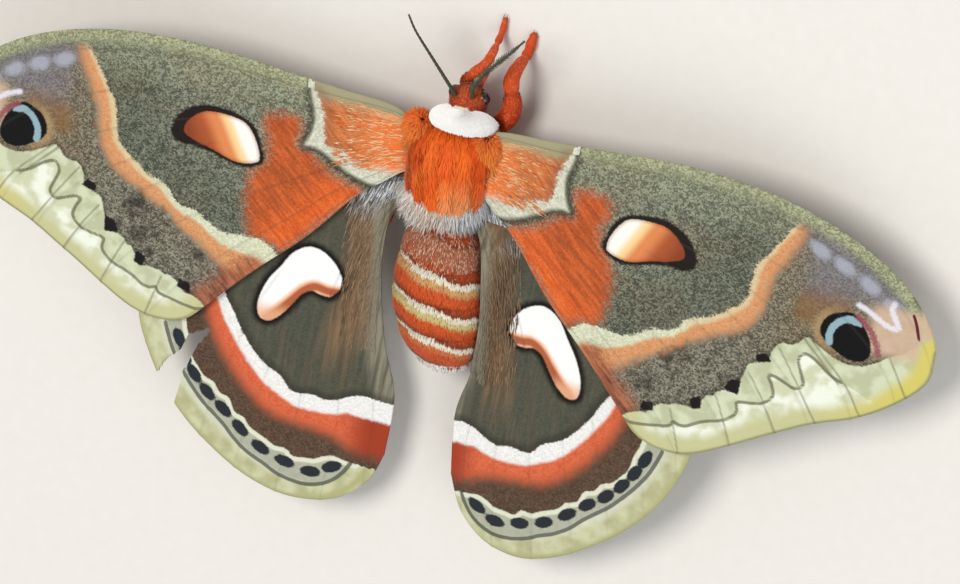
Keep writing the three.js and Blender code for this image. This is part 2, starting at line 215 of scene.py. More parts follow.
def linear(colour):
    c = np.array([int(colour[i : i + 2], 16) / 255 for i in (1, 3, 5)])
    return np.where(c <= 0.04045, c / 12.92, ((c + 0.055) / 1.055) ** 2.4)


# Materials
class Value:
    """A node's output. Sums, differences and products of values are new nodes."""

    def __init__(self, paint, socket):
        self.paint = paint
        self.socket = socket

    def __add__(self, other):
        return self.paint.math("ADD", self, other)

    def __radd__(self, other):
        return self.paint.math("ADD", other, self)

    def __sub__(self, other):
        return self.paint.math("SUBTRACT", self, other)

    def __mul__(self, other):
        return self.paint.math("MULTIPLY", self, other)


class Paint:
    """A material whose nodes are written as functions and sums of values."""

    def __init__(self, name, roughness, specular):
        self.material = bpy.data.materials.new(name)
        self.material.use_nodes = True
        self.tree = self.material.node_tree
        self.set_shader({"Roughness": roughness, "Specular IOR Level": specular})
        self.place = self.node("ShaderNodeTexCoord", "Object")
        self.read = {}

    def feed(self, socket, value):
        if isinstance(value, Value):
            self.tree.links.new(value.socket, socket)
        elif isinstance(value, str):
            socket.default_value = (*linear(value), 1)
        else:
            socket.default_value = value

    def set_shader(self, inputs):
        for key, value in inputs.items():
            self.feed(self.tree.nodes["Principled BSDF"].inputs[key], value)

    def node(self, kind, output, inputs=None, **settings):
        """The output of a new node with these inputs and settings."""
        node = self.tree.nodes.new(kind)
        for key, setting in settings.items():
            setattr(node, key, setting)
        for key, value in (inputs or {}).items():
            self.feed(node.inputs[key], value)
        return Value(self, node.outputs[output])

    def value(self, name):
        """A number that the mesh holds for each of its points."""
        if name not in self.read:
            self.read[name] = self.node("ShaderNodeAttribute", "Fac", attribute_name=name)
        return self.read[name]

    def colour(self, name):
        return self.node("ShaderNodeAttribute", "Color", attribute_name=name)

    def math(self, kind, a, b):
        return self.node("ShaderNodeMath", 0, {0: a, 1: b}, operation=kind)

    def rise(self, a, low, high):
        """0 below low, 1 above high, and smooth between. low may be the larger of the two."""
        first, last = (0, 1) if low <= high else (1, 0)
        inputs = {"Value": a, "From Min": min(low, high), "From Max": max(low, high)}
        inputs |= {"To Min": first, "To Max": last}
        return self.node("ShaderNodeMapRange", "Result", inputs, interpolation_type="SMOOTHSTEP")

    def mix(self, share, a, b, how="MIX"):
        inputs = {0: share, 6: a, 7: b}
        return self.node("ShaderNodeMix", 2, inputs, data_type="RGBA", blend_type=how)

    def shade(self, colour, factor):
        """Colour times a grey."""
        grey = self.node("ShaderNodeCombineColor", 0, {0: factor, 1: factor, 2: factor})
        return self.mix(1, colour, grey, "MULTIPLY")

    def noise(self, size, detail, rough=0.55, stretch=None):
        """Cloudy noise from 0 to 1, with lumps of about that size in millimetres."""
        place = self.stretched(*stretch) if stretch else self.place
        inputs = {"Scale": 1 / (size * MM), "Detail": detail, "Roughness": rough, "Vector": place}
        return self.node("ShaderNodeTexNoise", "Fac", inputs)

    def stretched(self, degrees, along, across):
        """The place, turned about z and squeezed."""
        inputs = {
            "Rotation": (0, 0, math.radians(degrees)),
            "Scale": (along, across, 1),
            "Vector": self.place,
        }
        return self.node("ShaderNodeMapping", 0, inputs, vector_type="TEXTURE")

    def facets(self, size, output="Distance"):
        """Small cells: the distance from the middle of each, or its random colour."""
        inputs = {"Scale": 1 / (size * MM), "Vector": self.place}
        return self.node("ShaderNodeTexVoronoi", output, inputs)

    def cells(self, size):
        """A random value from 0 to 1 for each small cell."""
        return self.node("ShaderNodeSeparateColor", 0, {0: self.facets(size, "Color")})

    def bump(self, height, distance, strength=1.0):
        inputs = {"Strength": strength, "Distance": distance * MM, "Height": height}
        self.set_shader({"Normal": self.node("ShaderNodeBump", "Normal", inputs)})

    def sheen(self, weight, roughness):
        self.set_shader({"Sheen Weight": weight, "Sheen Roughness": roughness})

    def finish(self, colour, roughness=None):
        self.set_shader({"Base Color": colour})
        if roughness is not None:
            self.set_shader({"Roughness": roughness})
        return self.material


def dress(piece, material, slot, *nodes):
    piece.data.materials.append(material)
    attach(piece, "root")
    if nodes:
        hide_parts(*nodes)


# Camera, light and floor
# The photo looks down on her from in front and from her right, and is turned a little.
LOOK = np.array([0.26, 0.41, 0.8742])
TURN = math.radians(7.5)
PIXELS_PER_MM = 7.35
VIEW_DISTANCE = 1000.0
VIEW_CENTRE = (4.1, -16.0)
FRAME_WIDTH = 960
VIEW_ORIGIN_Z = 5.0
SENSOR_WIDTH = 36
VIEW_DEPTH = (0.05, 20)
# The lamps, which all look at the middle of the floor: place, size, power and colour
LAMPS = dict(
    key=((-0.22, 0.38, 0.93), 0.45, 7.2, (1.0, 0.97, 0.93)),
    fill=((0.7, -0.3, 0.7), 0.9, 3.8, (0.95, 0.97, 1.0)),
)
SKY_COLOUR = (0.95, 0.97, 1.0, 1)
SKY_STRENGTH = 0.46
FLOOR_HALF = 1.6
FLOOR_LINES = 9


def camera():
    look = unit(LOOK)
    up = unit(np.array([0, 1.0, 0]) - look * look[1])
    right = np.cross(up, look)
    sideways = math.cos(TURN) * right + math.sin(TURN) * up
    upwards = -math.sin(TURN) * right + math.cos(TURN) * up
    place = VIEW_CENTRE[0] * sideways + VIEW_CENTRE[1] * upwards + VIEW_DISTANCE * look
    data = bpy.data.cameras.new("camera")
    data.sensor_width = SENSOR_WIDTH
    data.lens = PIXELS_PER_MM * VIEW_DISTANCE * SENSOR_WIDTH / FRAME_WIDTH
    data.clip_start, data.clip_end = VIEW_DEPTH
    eye = bpy.data.objects.new("camera", data)
    bpy.context.scene.collection.objects.link(eye)
    turn = np.eye(4)
    turn[:3, 0], turn[:3, 1], turn[:3, 2] = sideways, upwards, look
    turn[:3, 3] = to_row(place + np.array([0, 0, VIEW_ORIGIN_Z]))
    eye.matrix_world = Matrix(turn.tolist())
    bpy.context.scene.camera = eye


def area_light(name, place, size, power, colour):
    data = bpy.data.lights.new(name, "AREA")
    data.shape = "DISK"
    data.size = size
    data.energy = power
    data.color = colour
    lamp = bpy.data.objects.new(name, data)
    bpy.context.scene.collection.objects.link(lamp)
    lamp.location = place
    lamp.rotation_mode = "QUATERNION"
    lamp.rotation_quaternion = (-Vector(place)).to_track_quat("-Z", "Y")


def studio():
    for name, lamp in LAMPS.items():
        area_light(name, *lamp)
    world = bpy.data.worlds.new("studio")
    world.use_nodes = True
    background = world.node_tree.nodes["Background"]
    background.inputs[0].default_value = SKY_COLOUR
    background.inputs[1].default_value = SKY_STRENGTH
    bpy.context.scene.world = world
    view = bpy.context.scene.view_settings
    view.view_transform = "Standard"
    view.look = "None"
    lines = np.linspace(-FLOOR_HALF, FLOOR_HALF, FLOOR_LINES)
    x, y = np.meshgrid(lines, lines)
    points = np.c_[x.ravel(), y.ravel(), np.zeros(x.size)]
    floor = new_mesh("floor", points, grid_faces(FLOOR_LINES, FLOOR_LINES)[:, ::-1])
    p = Paint("floor paper", 0.9, 0.1)
    floor.data.materials.append(p.finish(p.mix(p.noise(2.0, 4), "#dcd9d2", "#e3e0da")))


# Wings
# Thickness of a membrane, then height and width of its veins at the root
MEMBRANE = 0.42
VEIN_RISE = 0.2
VEIN_WIDTH = 0.9
# Height at the hinge, slope outwards, droop with the distance squared, slope towards the head
WING_ROOT_HEIGHT = 9.0
WING_LIFT = 0.1745
WING_ARCH = 0.0024
WING_PITCH = 0.0175
HINGE_X = 6
LAYER_DROP = 1.5  # how far the hindwings lie below the forewings
PLEAT_DEPTH = 0.12
COLUMNS, ROWS = 175, 160
# The inner part of both hindwings is shifted to her right. It starts at a place behind the root,
# and on the margin inwards of a place, and grows over a length.
INNER_SHIFT = 1.2
SHIFT_RANGE = {-1: (10, 26), 1: (6, 14)}
MARGIN_SHIFT = (24, 14)
# The inner part of the right hindwing rises, to lie on the side of the abdomen
FLANK = dict(rise=2.6, outer=12.5, width=4.5, front=-4, rear=-27)
CELL_END = 0.46  # the share of the wing's reach where its cell ends

FOREWING = dict(
    costa=[(3.6, 7), (7.4, 9.8), (16, 11), (29.5, 12.6), (37, 13), (46, 12.3), (54, 10.3),
           (61, 7.2), (67, 2.8), (70.6, -2), (71.9, -5.6)],
    margin=[(71.9, -5.6), (71.4, -10), (68.2, -13.7), (62.4, -17.5), (55.4, -20.4),
            (46.2, -25.7), (40.5, -28.5), (36.2, -29), (33.2, -28), (31.5, -26.5)],
    inner=[(3.6, 2), (8, -1.6), (11.8, -4.9), (17.3, -11.6), (24.5, -18.8), (31.5, -26.5)],
    veins=[0.06, 0.2, 0.33, 0.45, 0.55, 0.685, 0.84, 0.95],
    cell_veins=[0.33, 0.45, 0.55],
    drop=0.0,
)
HINDWING = dict(
    costa=[(3.6, 0.4), (14, 0.6), (24, -3), (33, -10), (39.3, -20), (41, -27)],
    margin=[(41, -27), (39.8, -32), (36.6, -38.6), (31.5, -44.4), (25.8, -48.8), (20, -51.5),
            (15.6, -52.2), (10.8, -51), (6.9, -47.6), (5, -43)],
    inner=[(3.6, -3.2), (6.6, -6.6), (7.4, -13), (7.1, -20), (6.1, -27), (4.5, -34), (5, -43)],
    veins=[0.13, 0.28, 0.41, 0.53, 0.65, 0.77, 0.89],
    cell_veins=[0.41, 0.53],
    drop=LAYER_DROP,
)
TEAR = [(29.8, -29.3), (32.8, -31.1), (33.6, -33.3), (36, -36.1), (37.5, -39.2), (42, -43),
        (36, -47), (34.1, -42.6), (33.9, -40.2), (33.2, -36.4), (31.7, -32.4)]


def wing_height(x, y, drop):
    out = x - HINGE_X
    return WING_ROOT_HEIGHT + WING_LIFT * out + WING_PITCH * y - WING_ARCH * out * out - drop


def inner_shift(y, side):
    start, span = SHIFT_RANGE[side]
    return side * INNER_SHIFT * np.clip((-y - start) / span, 0, 1)


def flank_rise(x, y):
    near = np.clip((FLANK["outer"] - x) / FLANK["width"], 0, 1)
    along = np.sin(np.pi * np.clip((FLANK["front"] - y) / (FLANK["front"] - FLANK["rear"]), 0, 1))
    return FLANK["rise"] * ease(near) * np.sqrt(np.maximum(along, 0))


def wing_edges(wing, side):
    """The front, inner and outer edge of a wing."""
    inner, margin = wing["inner"], wing["margin"]
    if wing is HINDWING:
        inner = [(x + inner_shift(y, side), y) for x, y in inner]
        start, span = MARGIN_SHIFT
        margin = [(x + side * INNER_SHIFT * min(max((start - x) / span, 0), 1), y) for x, y in margin]
    return Arc(wing["costa"]), Arc(inner), Arc(margin)


def wing_sheet(wing, side):
    """Points of the wing's middle surface on a fan of lines from root to margin."""
    costa, inner, margin = wing_edges(wing, side)
    u, t = np.meshgrid(np.linspace(0, 1, COLUMNS), np.linspace(0, 1, ROWS), indexing="ij")
    u, t = u.ravel()[:, None], t.ravel()[:, None]
    front, rear, far = costa.at(t[:, 0]), inner.at(t[:, 0]), margin.at(u[:, 0])
    xy = (1 - u) * front + u * rear + t * far - t * (1 - u) * margin.at(0) - t * u * margin.at(1)
    return xy, u[:, 0], t[:, 0], margin.length


def vein_ridges(wing, u, t, margin_length):
    """How high the veins stand, from 0 to 1. The cell's own veins start at its end."""
    vein = np.zeros(len(u))
    half = VEIN_WIDTH / 2 / margin_length
    for place in wing["veins"]:
        ridge = ease(np.clip(1 - np.abs(u - place) / half / 1.15, 0, 1))
        start = CELL_END if place in wing["cell_veins"] else 0.0
        ridge = ridge * np.clip((t - start) / 0.05, 0, 1)
        vein = np.maximum(vein, ridge * (1 - 0.5 * t))
    return vein


def pleats(wing, u):
    """Shallow folds between the veins, up and down by turns."""
    pleat = np.zeros(len(u))
    stops = np.r_[0, wing["veins"], 1]
    for k, (a, b) in enumerate(zip(stops[:-1], stops[1:])):
        here = (u >= a) & (u <= b)
        pleat = np.where(here, np.sin(np.pi * (u - a) / (b - a)) * (-1) ** k, pleat)
    return pleat


def closed_faces(kept, side):
    """Top, underside and rim of a wing, without the points that aren't kept."""
    n = COLUMNS * ROWS
    upper = grid_faces(COLUMNS, ROWS)
    rim = np.r_[
        np.arange(ROWS),
        np.arange(1, COLUMNS) * ROWS + ROWS - 1,
        (COLUMNS - 1) * ROWS + np.arange(ROWS - 2, -1, -1),
        np.arange(COLUMNS - 2, 0, -1) * ROWS,
    ]
    after = np.roll(rim, -1)
    faces = np.vstack([upper, upper[:, ::-1] + n, np.c_[rim, after, after + n, rim + n]])
    if side > 0:
        faces = faces[:, ::-1]
    return faces[np.r_[kept, kept][faces].all(1)]


def build_wing(name, wing, side, values):
    """A closed wing. values(xy) gives the named distances that its paint reads."""
    xy, u, t, margin_length = wing_sheet(wing, side)
    x, y = xy.T
    vein = vein_ridges(wing, u, t, margin_length)
    z = wing_height(x, y, wing["drop"]) + PLEAT_DEPTH * pleats(wing, u) * np.clip(t * 1.5, 0, 1)
    kept = np.ones(len(xy), bool)
    if wing is HINDWING and side > 0:
        z = z + flank_rise(x, y)
    if wing is HINDWING and side < 0:
        kept = in_shape(xy, TEAR, smooth=False) > 0
    edge = np.minimum(np.minimum(u, 1 - u), 1 - t) * margin_length
    thick = MEMBRANE / 2 * np.sqrt(np.clip(edge / 0.5, 0.06, 1)) + vein * VEIN_RISE
    points = np.vstack([np.c_[side * x, y, z + thick], np.c_[side * x, y, z - thick]])
    piece = new_mesh(name, to_row(points), closed_faces(kept, side))
    for key, array in values(xy).items():
        set_value(piece, key, np.r_[array, array])
    set_value(piece, "vein", np.r_[vein, vein])
    set_value(piece, "below", np.r_[0 * u, 0 * u + 1])
    uv = np.c_[0.02 + 0.46 * u, 0.02 + 0.96 * t]
    set_bake_map(piece, np.vstack([uv, uv + [[0.5, 0]]]))
    return piece


# The markings, as lines and outlines on the right wing seen from above
BASE_INNER = [(6.0, 0.6), (8, 0.5), (10, 0.7), (12, 1.2), (14, 1.9), (15.8, 2.3), (16.5, 3.3),
              (16.7, 5), (16.9, 6.5), (17.6, 8.3), (18.2, 9.6)]
BASE_OUTER = [(6.0, -2.6), (8, -2.3), (10, -2.2), (12.3, -1.4), (14.3, -0.3), (16.4, 1.0),
              (18.0, 1.6), (19.3, 1.6), (18.7, 3.1), (18.3, 5), (18.3, 6.6), (18.8, 8.2), (19.2, 9.6)]
PM_INNER = [(19.6, -16.6), (21.3, -15.2), (23, -14), (25.5, -13.5), (28.7, -13.6), (30.6, -12.9),
            (31.8, -12), (33, -11.2), (34.9, -11), (36.3, -10.4), (37.2, -9), (38.5, -8.1),
            (40.5, -7.4), (42, -6.4), (43.6, -5.3), (44.7, -4.4), (45.3, -3.2), (45.6, -1.5),
            (45.8, 0.5), (46.4, 2.2), (47.4, 3.6), (48.4, 5.2), (49.3, 6.5), (50, 7.8), (51.3, 9.6)]
PM_MIDDLE = [(20.6, -18.2), (22.4, -17.1), (24.6, -16.6), (27, -16.2), (29.6, -15.2), (31.7, -13.9),
             (33.4, -12.8), (35.4, -12.3), (37.2, -11.1), (38.7, -9.6), (40.7, -8.6), (42.7, -7.4),
             (44.6, -6.0), (45.9, -4.6), (46.5, -2.9), (46.8, -1), (47.1, 0.9), (47.8, 2.6),
             (48.9, 4.4), (49.9, 6.1), (50.8, 7.6), (51.9, 9.6)]
PM_OUTER = [(24.5, -20.6), (27.0, -20.3), (29.3, -18.7), (31.2, -17.2), (33, -15.9), (35.5, -14.5),
            (37.5, -12.8), (40, -11.5), (42, -10.2), (44, -9.3), (46, -8), (47.5, -6.2), (48.2, -4.4),
            (48.6, -2), (49, 0.2), (50, 2.2), (51, 4.2), (52, 6.2), (52.9, 8), (53.2, 9.6)]
TEETH = [(29.6, -26.4), (31.2, -24.9), (32.6, -24.3), (33.9, -24.1), (34.8, -22.8), (36, -22),
         (36.9, -22), (37.6, -21.6), (39.2, -21.4), (40.7, -21.6), (41.3, -20.3), (42, -19.1),
         (42.8, -19.1), (43.3, -18.3), (44.2, -17.8), (45.7, -17.8), (46.3, -17.2), (46.4, -15.6),
         (46.8, -14.2), (47.1, -13), (48.6, -12.3), (49.9, -11.9), (50, -10.6), (50.6, -9.3),
         (51.4, -8.8), (52.4, -8.9), (53.4, -8.4), (54.1, -7.4), (54.8, -7), (55.6, -7.7),
         (57, -8.4), (58.4, -9.2), (60.4, -9.8), (62.6, -9.6), (64.4, -8.6), (66, -7.4),
         (67.8, -6.6), (69.2, -5.2), (69.9, -3), (69.6, -0.6), (68.4, 1.6)]
WAVY = [(30.6, -25.7), (32, -26.1), (34, -25.9), (36, -25.4), (37.4, -25), (37.9, -24.2),
        (38.6, -24.5), (39.7, -24.4), (40.9, -23.7), (42, -23.1), (43.8, -22.5), (44.9, -22.1),
        (46, -21.2), (46.4, -20.4), (46.2, -19.2), (46.9, -18.9), (48.3, -18.7), (49.8, -18.2),
        (50.8, -17.3), (51.1, -16.5), (50.7, -15.2), (50.1, -14.0), (51, -13.9), (52.5, -14.5),
        (53.9, -15), (54.9, -14.2), (54.3, -12.4), (53.8, -10.8), (54.6, -9.6), (56.4, -10.4),
        (58.2, -11.8), (60, -12.6)]
MARGIN_VEINS = [
    [(37.2, -22.4), (38.2, -25.6), (39.2, -29)],
    [(43.1, -18.6), (44.3, -21.2), (46.1, -25.6)],
    [(47.3, -14.2), (49.6, -17.6), (52.2, -22.4)],
    [(50.8, -9.4), (54, -14.2), (57.6, -20.0)],
    [(54.4, -6.6), (57.6, -9.8), (60.8, -13.2), (63.2, -17.2)],
    [(54.1, -7.3), (57.2, -10.5), (59.6, -12.9)],
    [(61.6, -3.6), (65.2, -6.6), (67.6, -10.8), (69, -13.4)],
]
CRESCENT = [(25.3, -2.2), (25.2, -1.2), (25.6, 0.2), (26.5, 1.8), (27.6, 3), (29, 3.5), (31.2, 3.7),
            (33.3, 3.5), (35, 2.4), (36.1, 0.9), (36.1, -0.4), (34.5, -1.2), (32, -1.8), (30, -2.5),
            (28.5, -2.9), (26.8, -2.8)]
CRESCENT_RIM = [(24.5, -2.0), (24.9, -0.1), (25.7, 1.9), (27, 3.4), (28.6, 4.1), (31.1, 4.6),
                (33.6, 4.5), (35.8, 3.5), (37.4, 1.8), (38.1, -0.1), (37.8, -1.4), (36.4, -2.1),
                (34.6, -2), (32, -2.4), (29.8, -3.1), (28, -3.5), (26.2, -3.3)]
RUST = [(10.6, -3.6), (13, -2.6), (15.6, -1.1), (18, 0.8), (19.8, 1.6), (19.6, 3.6), (20.2, 5.6),
        (23, 5.8), (24.8, 5), (25.2, 3.2), (24.4, 1.5), (24.2, -0.6), (24.8, -2.4), (26, -3.6),
        (26.6, -6.5), (26.4, -10), (25.4, -13), (22.4, -13.8), (20.2, -14.4), (17, -11), (13, -6.5)]
RUST_INNER_EDGE = [(9.2, -2.7), (11.8, -4.9), (17.3, -11.6), (22.6, -16.8)]
RED_TAIL = [(21.6, -16.0), (24.5, -18.8), (28.4, -22.9), (31.5, -26.4)]
EYE_RIM = [(56.2, -5.9), (56.3, -4.4), (57.1, -3.2), (58.4, -2.5), (59.9, -2.2), (61.1, -2.8),
           (62.1, -4.1), (63.0, -5.8), (63.3, -7.6), (62.5, -8.8), (61, -9.1), (59.6, -8.7),
           (58.4, -8), (57.2, -7.2)]
EYE_ARC = [(57.6, -7.1), (57.5, -5.8), (58.0, -4.5), (58.9, -3.6), (60.1, -3.2), (61.2, -3.8)]
PUPIL_MIDDLE = (60.8, -6.4)
MAGENTA = [(60.9, -2.6), (62.6, -4.0), (63.7, -5.8), (64.4, -7.6)]
ZIGZAG = [(60.8, -0.9), (62.4, -1.6), (64, -2.6), (65.6, -3.3), (66.5, -3.1), (65.9, -1.9),
          (65.3, -0.6), (65.6, 0.4)]
RED_DASH = [(68.3, -0.7), (68.9, -2.2), (69.4, -4.1)]
LAVENDER = [(54.6, 5.8), (58.2, 4.2), (61.9, 2.3), (65.4, -0.2)]
DARK_SPOTS = [[(40.2, -21.6), (41.4, -21.2), (41.2, -19.6), (39.8, -20.2)],
              [(44.2, -17.6), (46.2, -17.9), (46.3, -15.6), (44.8, -16.2)],
              [(48.2, -12.4), (50.1, -11.9), (49.4, -10.9), (48, -11.4)],
              [(33, -24.0), (34.8, -23.4), (34.6, -22.2), (33.2, -22.6)]]
CLOUD = [(54.0, -3.6), (54.6, -1.6), (56.2, -0.9), (58.4, -1.4)]


def line_values(xy, near, past, inside):
    """The distance to near lines, how far past other lines, the signed distance to outlines,
    which is negative inside, and the place."""
    values = {name: near_line(xy, line) for name, line in near.items()}
    values |= {name: -from_line(xy, line) for name, line in past.items()}
    values |= {name: in_shape(xy, outline) for name, outline in inside.items()}
    return values | dict(across=xy[:, 0], along=xy[:, 1])


def forewing_values(xy):
    x, y = xy.T
    near = dict(costa=FOREWING["costa"], outer=FOREWING["margin"], wavy=WAVY, rust_edge=RUST_INNER_EDGE,
                red_tail=RED_TAIL, eye_arc=EYE_ARC, magenta=MAGENTA, zigzag=ZIGZAG, dash=RED_DASH,
                cloud=CLOUD)
    past = dict(base_in=BASE_INNER, base_out=BASE_OUTER, pm_in=PM_INNER, pm_mid=PM_MIDDLE,
                pm_out=PM_OUTER, wavy_side=WAVY)
    inside = dict(crescent=CRESCENT, crescent_rim=CRESCENT_RIM, rust=RUST, eye_rim=EYE_RIM)
    lavender = [np.hypot((x - a) * 0.75 + (y - b) * 0.4, (y - b) * 0.8) for a, b in LAVENDER]
    return line_values(xy, near, past, inside) | dict(
        teeth=-from_line(xy, TEETH, smooth=False),
        pupil=np.hypot(x - PUPIL_MIDDLE[0], y - PUPIL_MIDDLE[1]),
        spots=np.min([in_shape(xy, spot, smooth=False) for spot in DARK_SPOTS], axis=0),
        lavender=np.min(lavender, axis=0),
        veins=np.min([near_line(xy, vein) for vein in MARGIN_VEINS], axis=0),
    )


def scale_noise(p, dither, rough):
    """Grain of the scales, blotches of many scales, and what roughens the markings' edges."""
    grain, blotch = p.cells(0.21), p.noise(0.9, 3, 0.6)
    return grain, blotch, (grain - 0.5) * dither, (blotch - 0.5) * rough


def finish_wing(p, colour, vein, under, relief, depth, rough):
    """The veins' tone, a paler and greyer underside, relief and sheen.

    vein and under hold a share and a colour, rough holds the roughness and its spread.
    """
    colour = p.mix(p.rise(p.value("vein"), 0.15, 0.75) * vein[0], colour, vein[1])
    colour = p.mix(p.value("below"), colour, p.mix(under[0], colour, under[1]))
    fine = p.cells(0.13)
    p.bump(fine * 0.6 + relief, depth, 0.6)
    p.sheen(0.12, 0.5)
    return p.finish(colour, rough[0] + fine * rough[1])


def forewing_paint():
    p = Paint("forewing scales", 0.86, 0.12)
    get, mix, rise = p.value, p.mix, p.rise
    grain, blotch, dither, rough = scale_noise(p, 0.55, 1.3)
    jitter = dither + rough
    cloud = p.noise(7.0, 3, 0.5)

    def at(name, amount=1.0):
        return get(name) + jitter * amount

    # grey ground, peppered with light scales
    pepper = rise(grain * 0.6 + blotch * 0.6, 0.3, 1.0)
    grey = mix(pepper, "#474b40", "#8d917d")
    brown = mix(pepper, "#504a3c", "#958b73")
    ground = mix(rise(cloud, 0.4, 0.7), grey, brown)
    deep = mix(pepper, "#35392f", "#6d7161")
    deeper = rise(get("pm_in") + (cloud - 0.5) * 6, -11, -3)
    ground = mix(deeper * 0.6, ground, deep)
    upper_grey = mix(pepper, "#676a58", "#a5ab8b")
    ground = mix(rise(get("costa"), 8.5, 3.0) * 0.55, ground, upper_grey)
    # the pale front edge
    olive = mix(pepper, "#7a7c60", "#b3b691")
    stripe_width = rise(get("across"), 2, 16)
    strip = rise(at("costa", 1.2), 2.5, 0.7)
    colour = mix(strip * (0.5 + stripe_width * 0.4), ground, olive)
    # rust and orange at the base
    streak = p.noise(0.5, 3, 0.6, stretch=(-43, 9, 1))
    rust = mix(rise(streak, 0.35, 0.7), "#a04c25", "#c9602e")
    bright = mix(rise(streak, 0.3, 0.7), "#c4531f", "#dd6a31")
    rust = mix(rise(get("rust_edge"), 6.5, 2.0), rust, bright)
    rust = p.shade(rust, 0.82 + grain * 0.3)
    inside = rise(at("rust", 1.5), 1.2, -1.4)
    upper = rise(get("along"), 8.5, 4)
    colour = mix(inside * (0.3 + upper * 0.7), colour, rust)
    # outer half: orange band with its cream edge
    beyond = rise(at("pm_mid", 0.8), -0.2, 0.3)
    cream = mix(grain, "#bcbc9c", "#d6dcc0")
    band = mix(grain * 0.5 + blotch * 0.5, "#b86f40", "#dba877")
    fade = rise(at("pm_out", 1.5), -1.0, 0.7)
    submarginal = mix(pepper, "#474439", "#918e7c")
    warm = mix(pepper, "#554a3a", "#93886e")
    submarginal = mix(rise(get("across"), 46, 54), submarginal, warm)
    coarse = p.noise(2.2, 2, 0.5)
    dark = rise(coarse, 0.5, 0.7) * rise(get("across"), 47, 42)
    submarginal = mix(dark * 0.75, submarginal, "#2a2521")
    band = mix(fade, band, submarginal)
    cream = mix(rise(get("across"), 34, 44) * 0.6, cream, "#cfa878")
    past = mix(beyond, cream, band)
    narrow = rise(get("across"), 24, 34) * -0.35
    inward = rise(at("pm_in", 0.5) + narrow, -0.2, 0.2)
    front = rise(get("costa"), 1.4, 3.2)
    colour = mix(inward * front, colour, past)
    # the band reddens along the rear edge
    tail = rise(at("red_tail", 1.4), 4.2, 0.8) * rise(get("pm_in"), 1.5, 3.5)
    red = mix(rise(streak, 0.3, 0.7), "#6e3a28", "#b5694a")
    colour = mix(tail * 0.85, colour, red)
    # clouds round the eyespot and on the apex
    cloud_near = rise(get("cloud") + rough, 2.6, 0.4)
    colour = mix(cloud_near * 0.7, colour, "#7d5a34")
    violet_zone = rise(get("across"), 50.5, 56) * rise(get("along"), -3.0, 1.5)
    violet = mix(grain, "#636168", "#807e84")
    violet_zone = violet_zone * rise(at("costa", 0.8), 1.2, 2.4)
    colour = mix(violet_zone * 0.7, colour, violet)
    lavender = rise(get("lavender") + rough * 0.5, 1.5, 0.5)
    colour = mix(lavender * 0.7, colour, "#a9adba")
    # cream beyond the teeth
    toothed = rise(get("teeth") + dither * 0.2, -0.14, 0.14)
    mottle = rise(p.noise(2.4, 2, 0.4), 0.38, 0.62)
    lobe = mix(mottle, "#b4b896", "#c9cfb0")
    chalk = mix(mottle, "#c6c9a8", "#e4e8d8")
    field = mix(rise(get("wavy_side") - 0.1, -0.2, 0.4), lobe, chalk)
    scallop = (p.noise(4.5, 1, 0.3) - 0.5) * 1.8
    rim_yellow = mix(rise(get("across"), 54, 69), "#bdbd8e", "#c9bf66")
    field = mix(rise(get("outer") + scallop, 3.5, 1.3), field, rim_yellow)
    field = mix(rise(get("outer"), 0.55, 0.15), field, "#9d9a6a")
    shadow_edge = rise(get("teeth"), -0.9, -0.1)
    colour = mix(shadow_edge * 0.45, colour, "#2f2b24")
    colour = mix(toothed, colour, field)
    # peach ground right of the eyespot
    peach = rise(get("across"), 61.5, 64) * rise(get("along"), -8.6, -6.4)
    peach = peach * rise(get("along"), 0.6, -1.2)
    peach = peach * rise(get("outer"), 1.6, 3.0)
    peach_colour = mix(p.noise(1.4, 3), "#b99a7c", "#cfb8a0")
    colour = mix(peach * 0.92, colour, peach_colour)
    # fine dark lines
    lines = rise(get("wavy") + rough * 0.1, 0.32, 0.14)
    colour = mix(lines * 0.75, colour, "#55533f")
    veins = rise(get("veins"), 0.24, 0.1)
    colour = mix(veins * toothed * 0.5, colour, "#615e47")
    spots = rise(get("spots") + dither * 0.2, 0.22, -0.05)
    colour = mix(spots, colour, "#171513")
    # white L-shaped line at the base, with orange inside it
    base_ground = mix(rise(streak, 0.35, 0.65), "#b05a2c", "#d4814d")
    base_ground = mix(rise(at("costa", 1.2), 3.4, 1.2), base_ground, "#9b9676")
    dusk = rise(get("base_in") + rough * 0.8, -2.2, -0.2)
    base_ground = mix(dusk * 0.45, base_ground, "#7c5c46")
    line = mix(grain * 0.8, "#b3b49f", "#dddfce")
    line = mix(rise(get("base_out"), -0.5, 0.0), line, "#8b8c79")
    base = mix(rise(get("base_in") + jitter * 0.7, -0.3, 0.35), base_ground, line)
    here = rise(get("base_out") + jitter * 0.45, 0.25, -0.2)
    shadow = rise(get("base_out") + jitter * 0.6, 1.3, 0.1)
    colour = mix(shadow * 0.72, colour, "#2c2722")
    colour = mix(here, colour, base)
    # the crescent
    rim = rise(get("crescent_rim") + dither * 0.3, 0.25, -0.25)
    colour = mix(rim, colour, "#1d1612")
    slant = get("across") - get("along") * 0.55
    glow = mix(rise(slant, 27.2, 28.8), "#f0ede4", "#ecc98f")
    glow = mix(rise(slant, 28.6, 30.2), glow, "#d4814e")
    glow = mix(rise(slant, 30.6, 33.0), glow, "#a4512c")
    glow = mix(rise(slant + rough * 0.6, 32.5, 36.5), glow, "#7a3a20")
    glow = mix(rise(get("crescent"), -0.6, -0.05), glow, mix(0.4, glow, "#8f4022"))
    colour = mix(rise(get("crescent") + dither * 0.14, 0.1, -0.12), colour, glow)
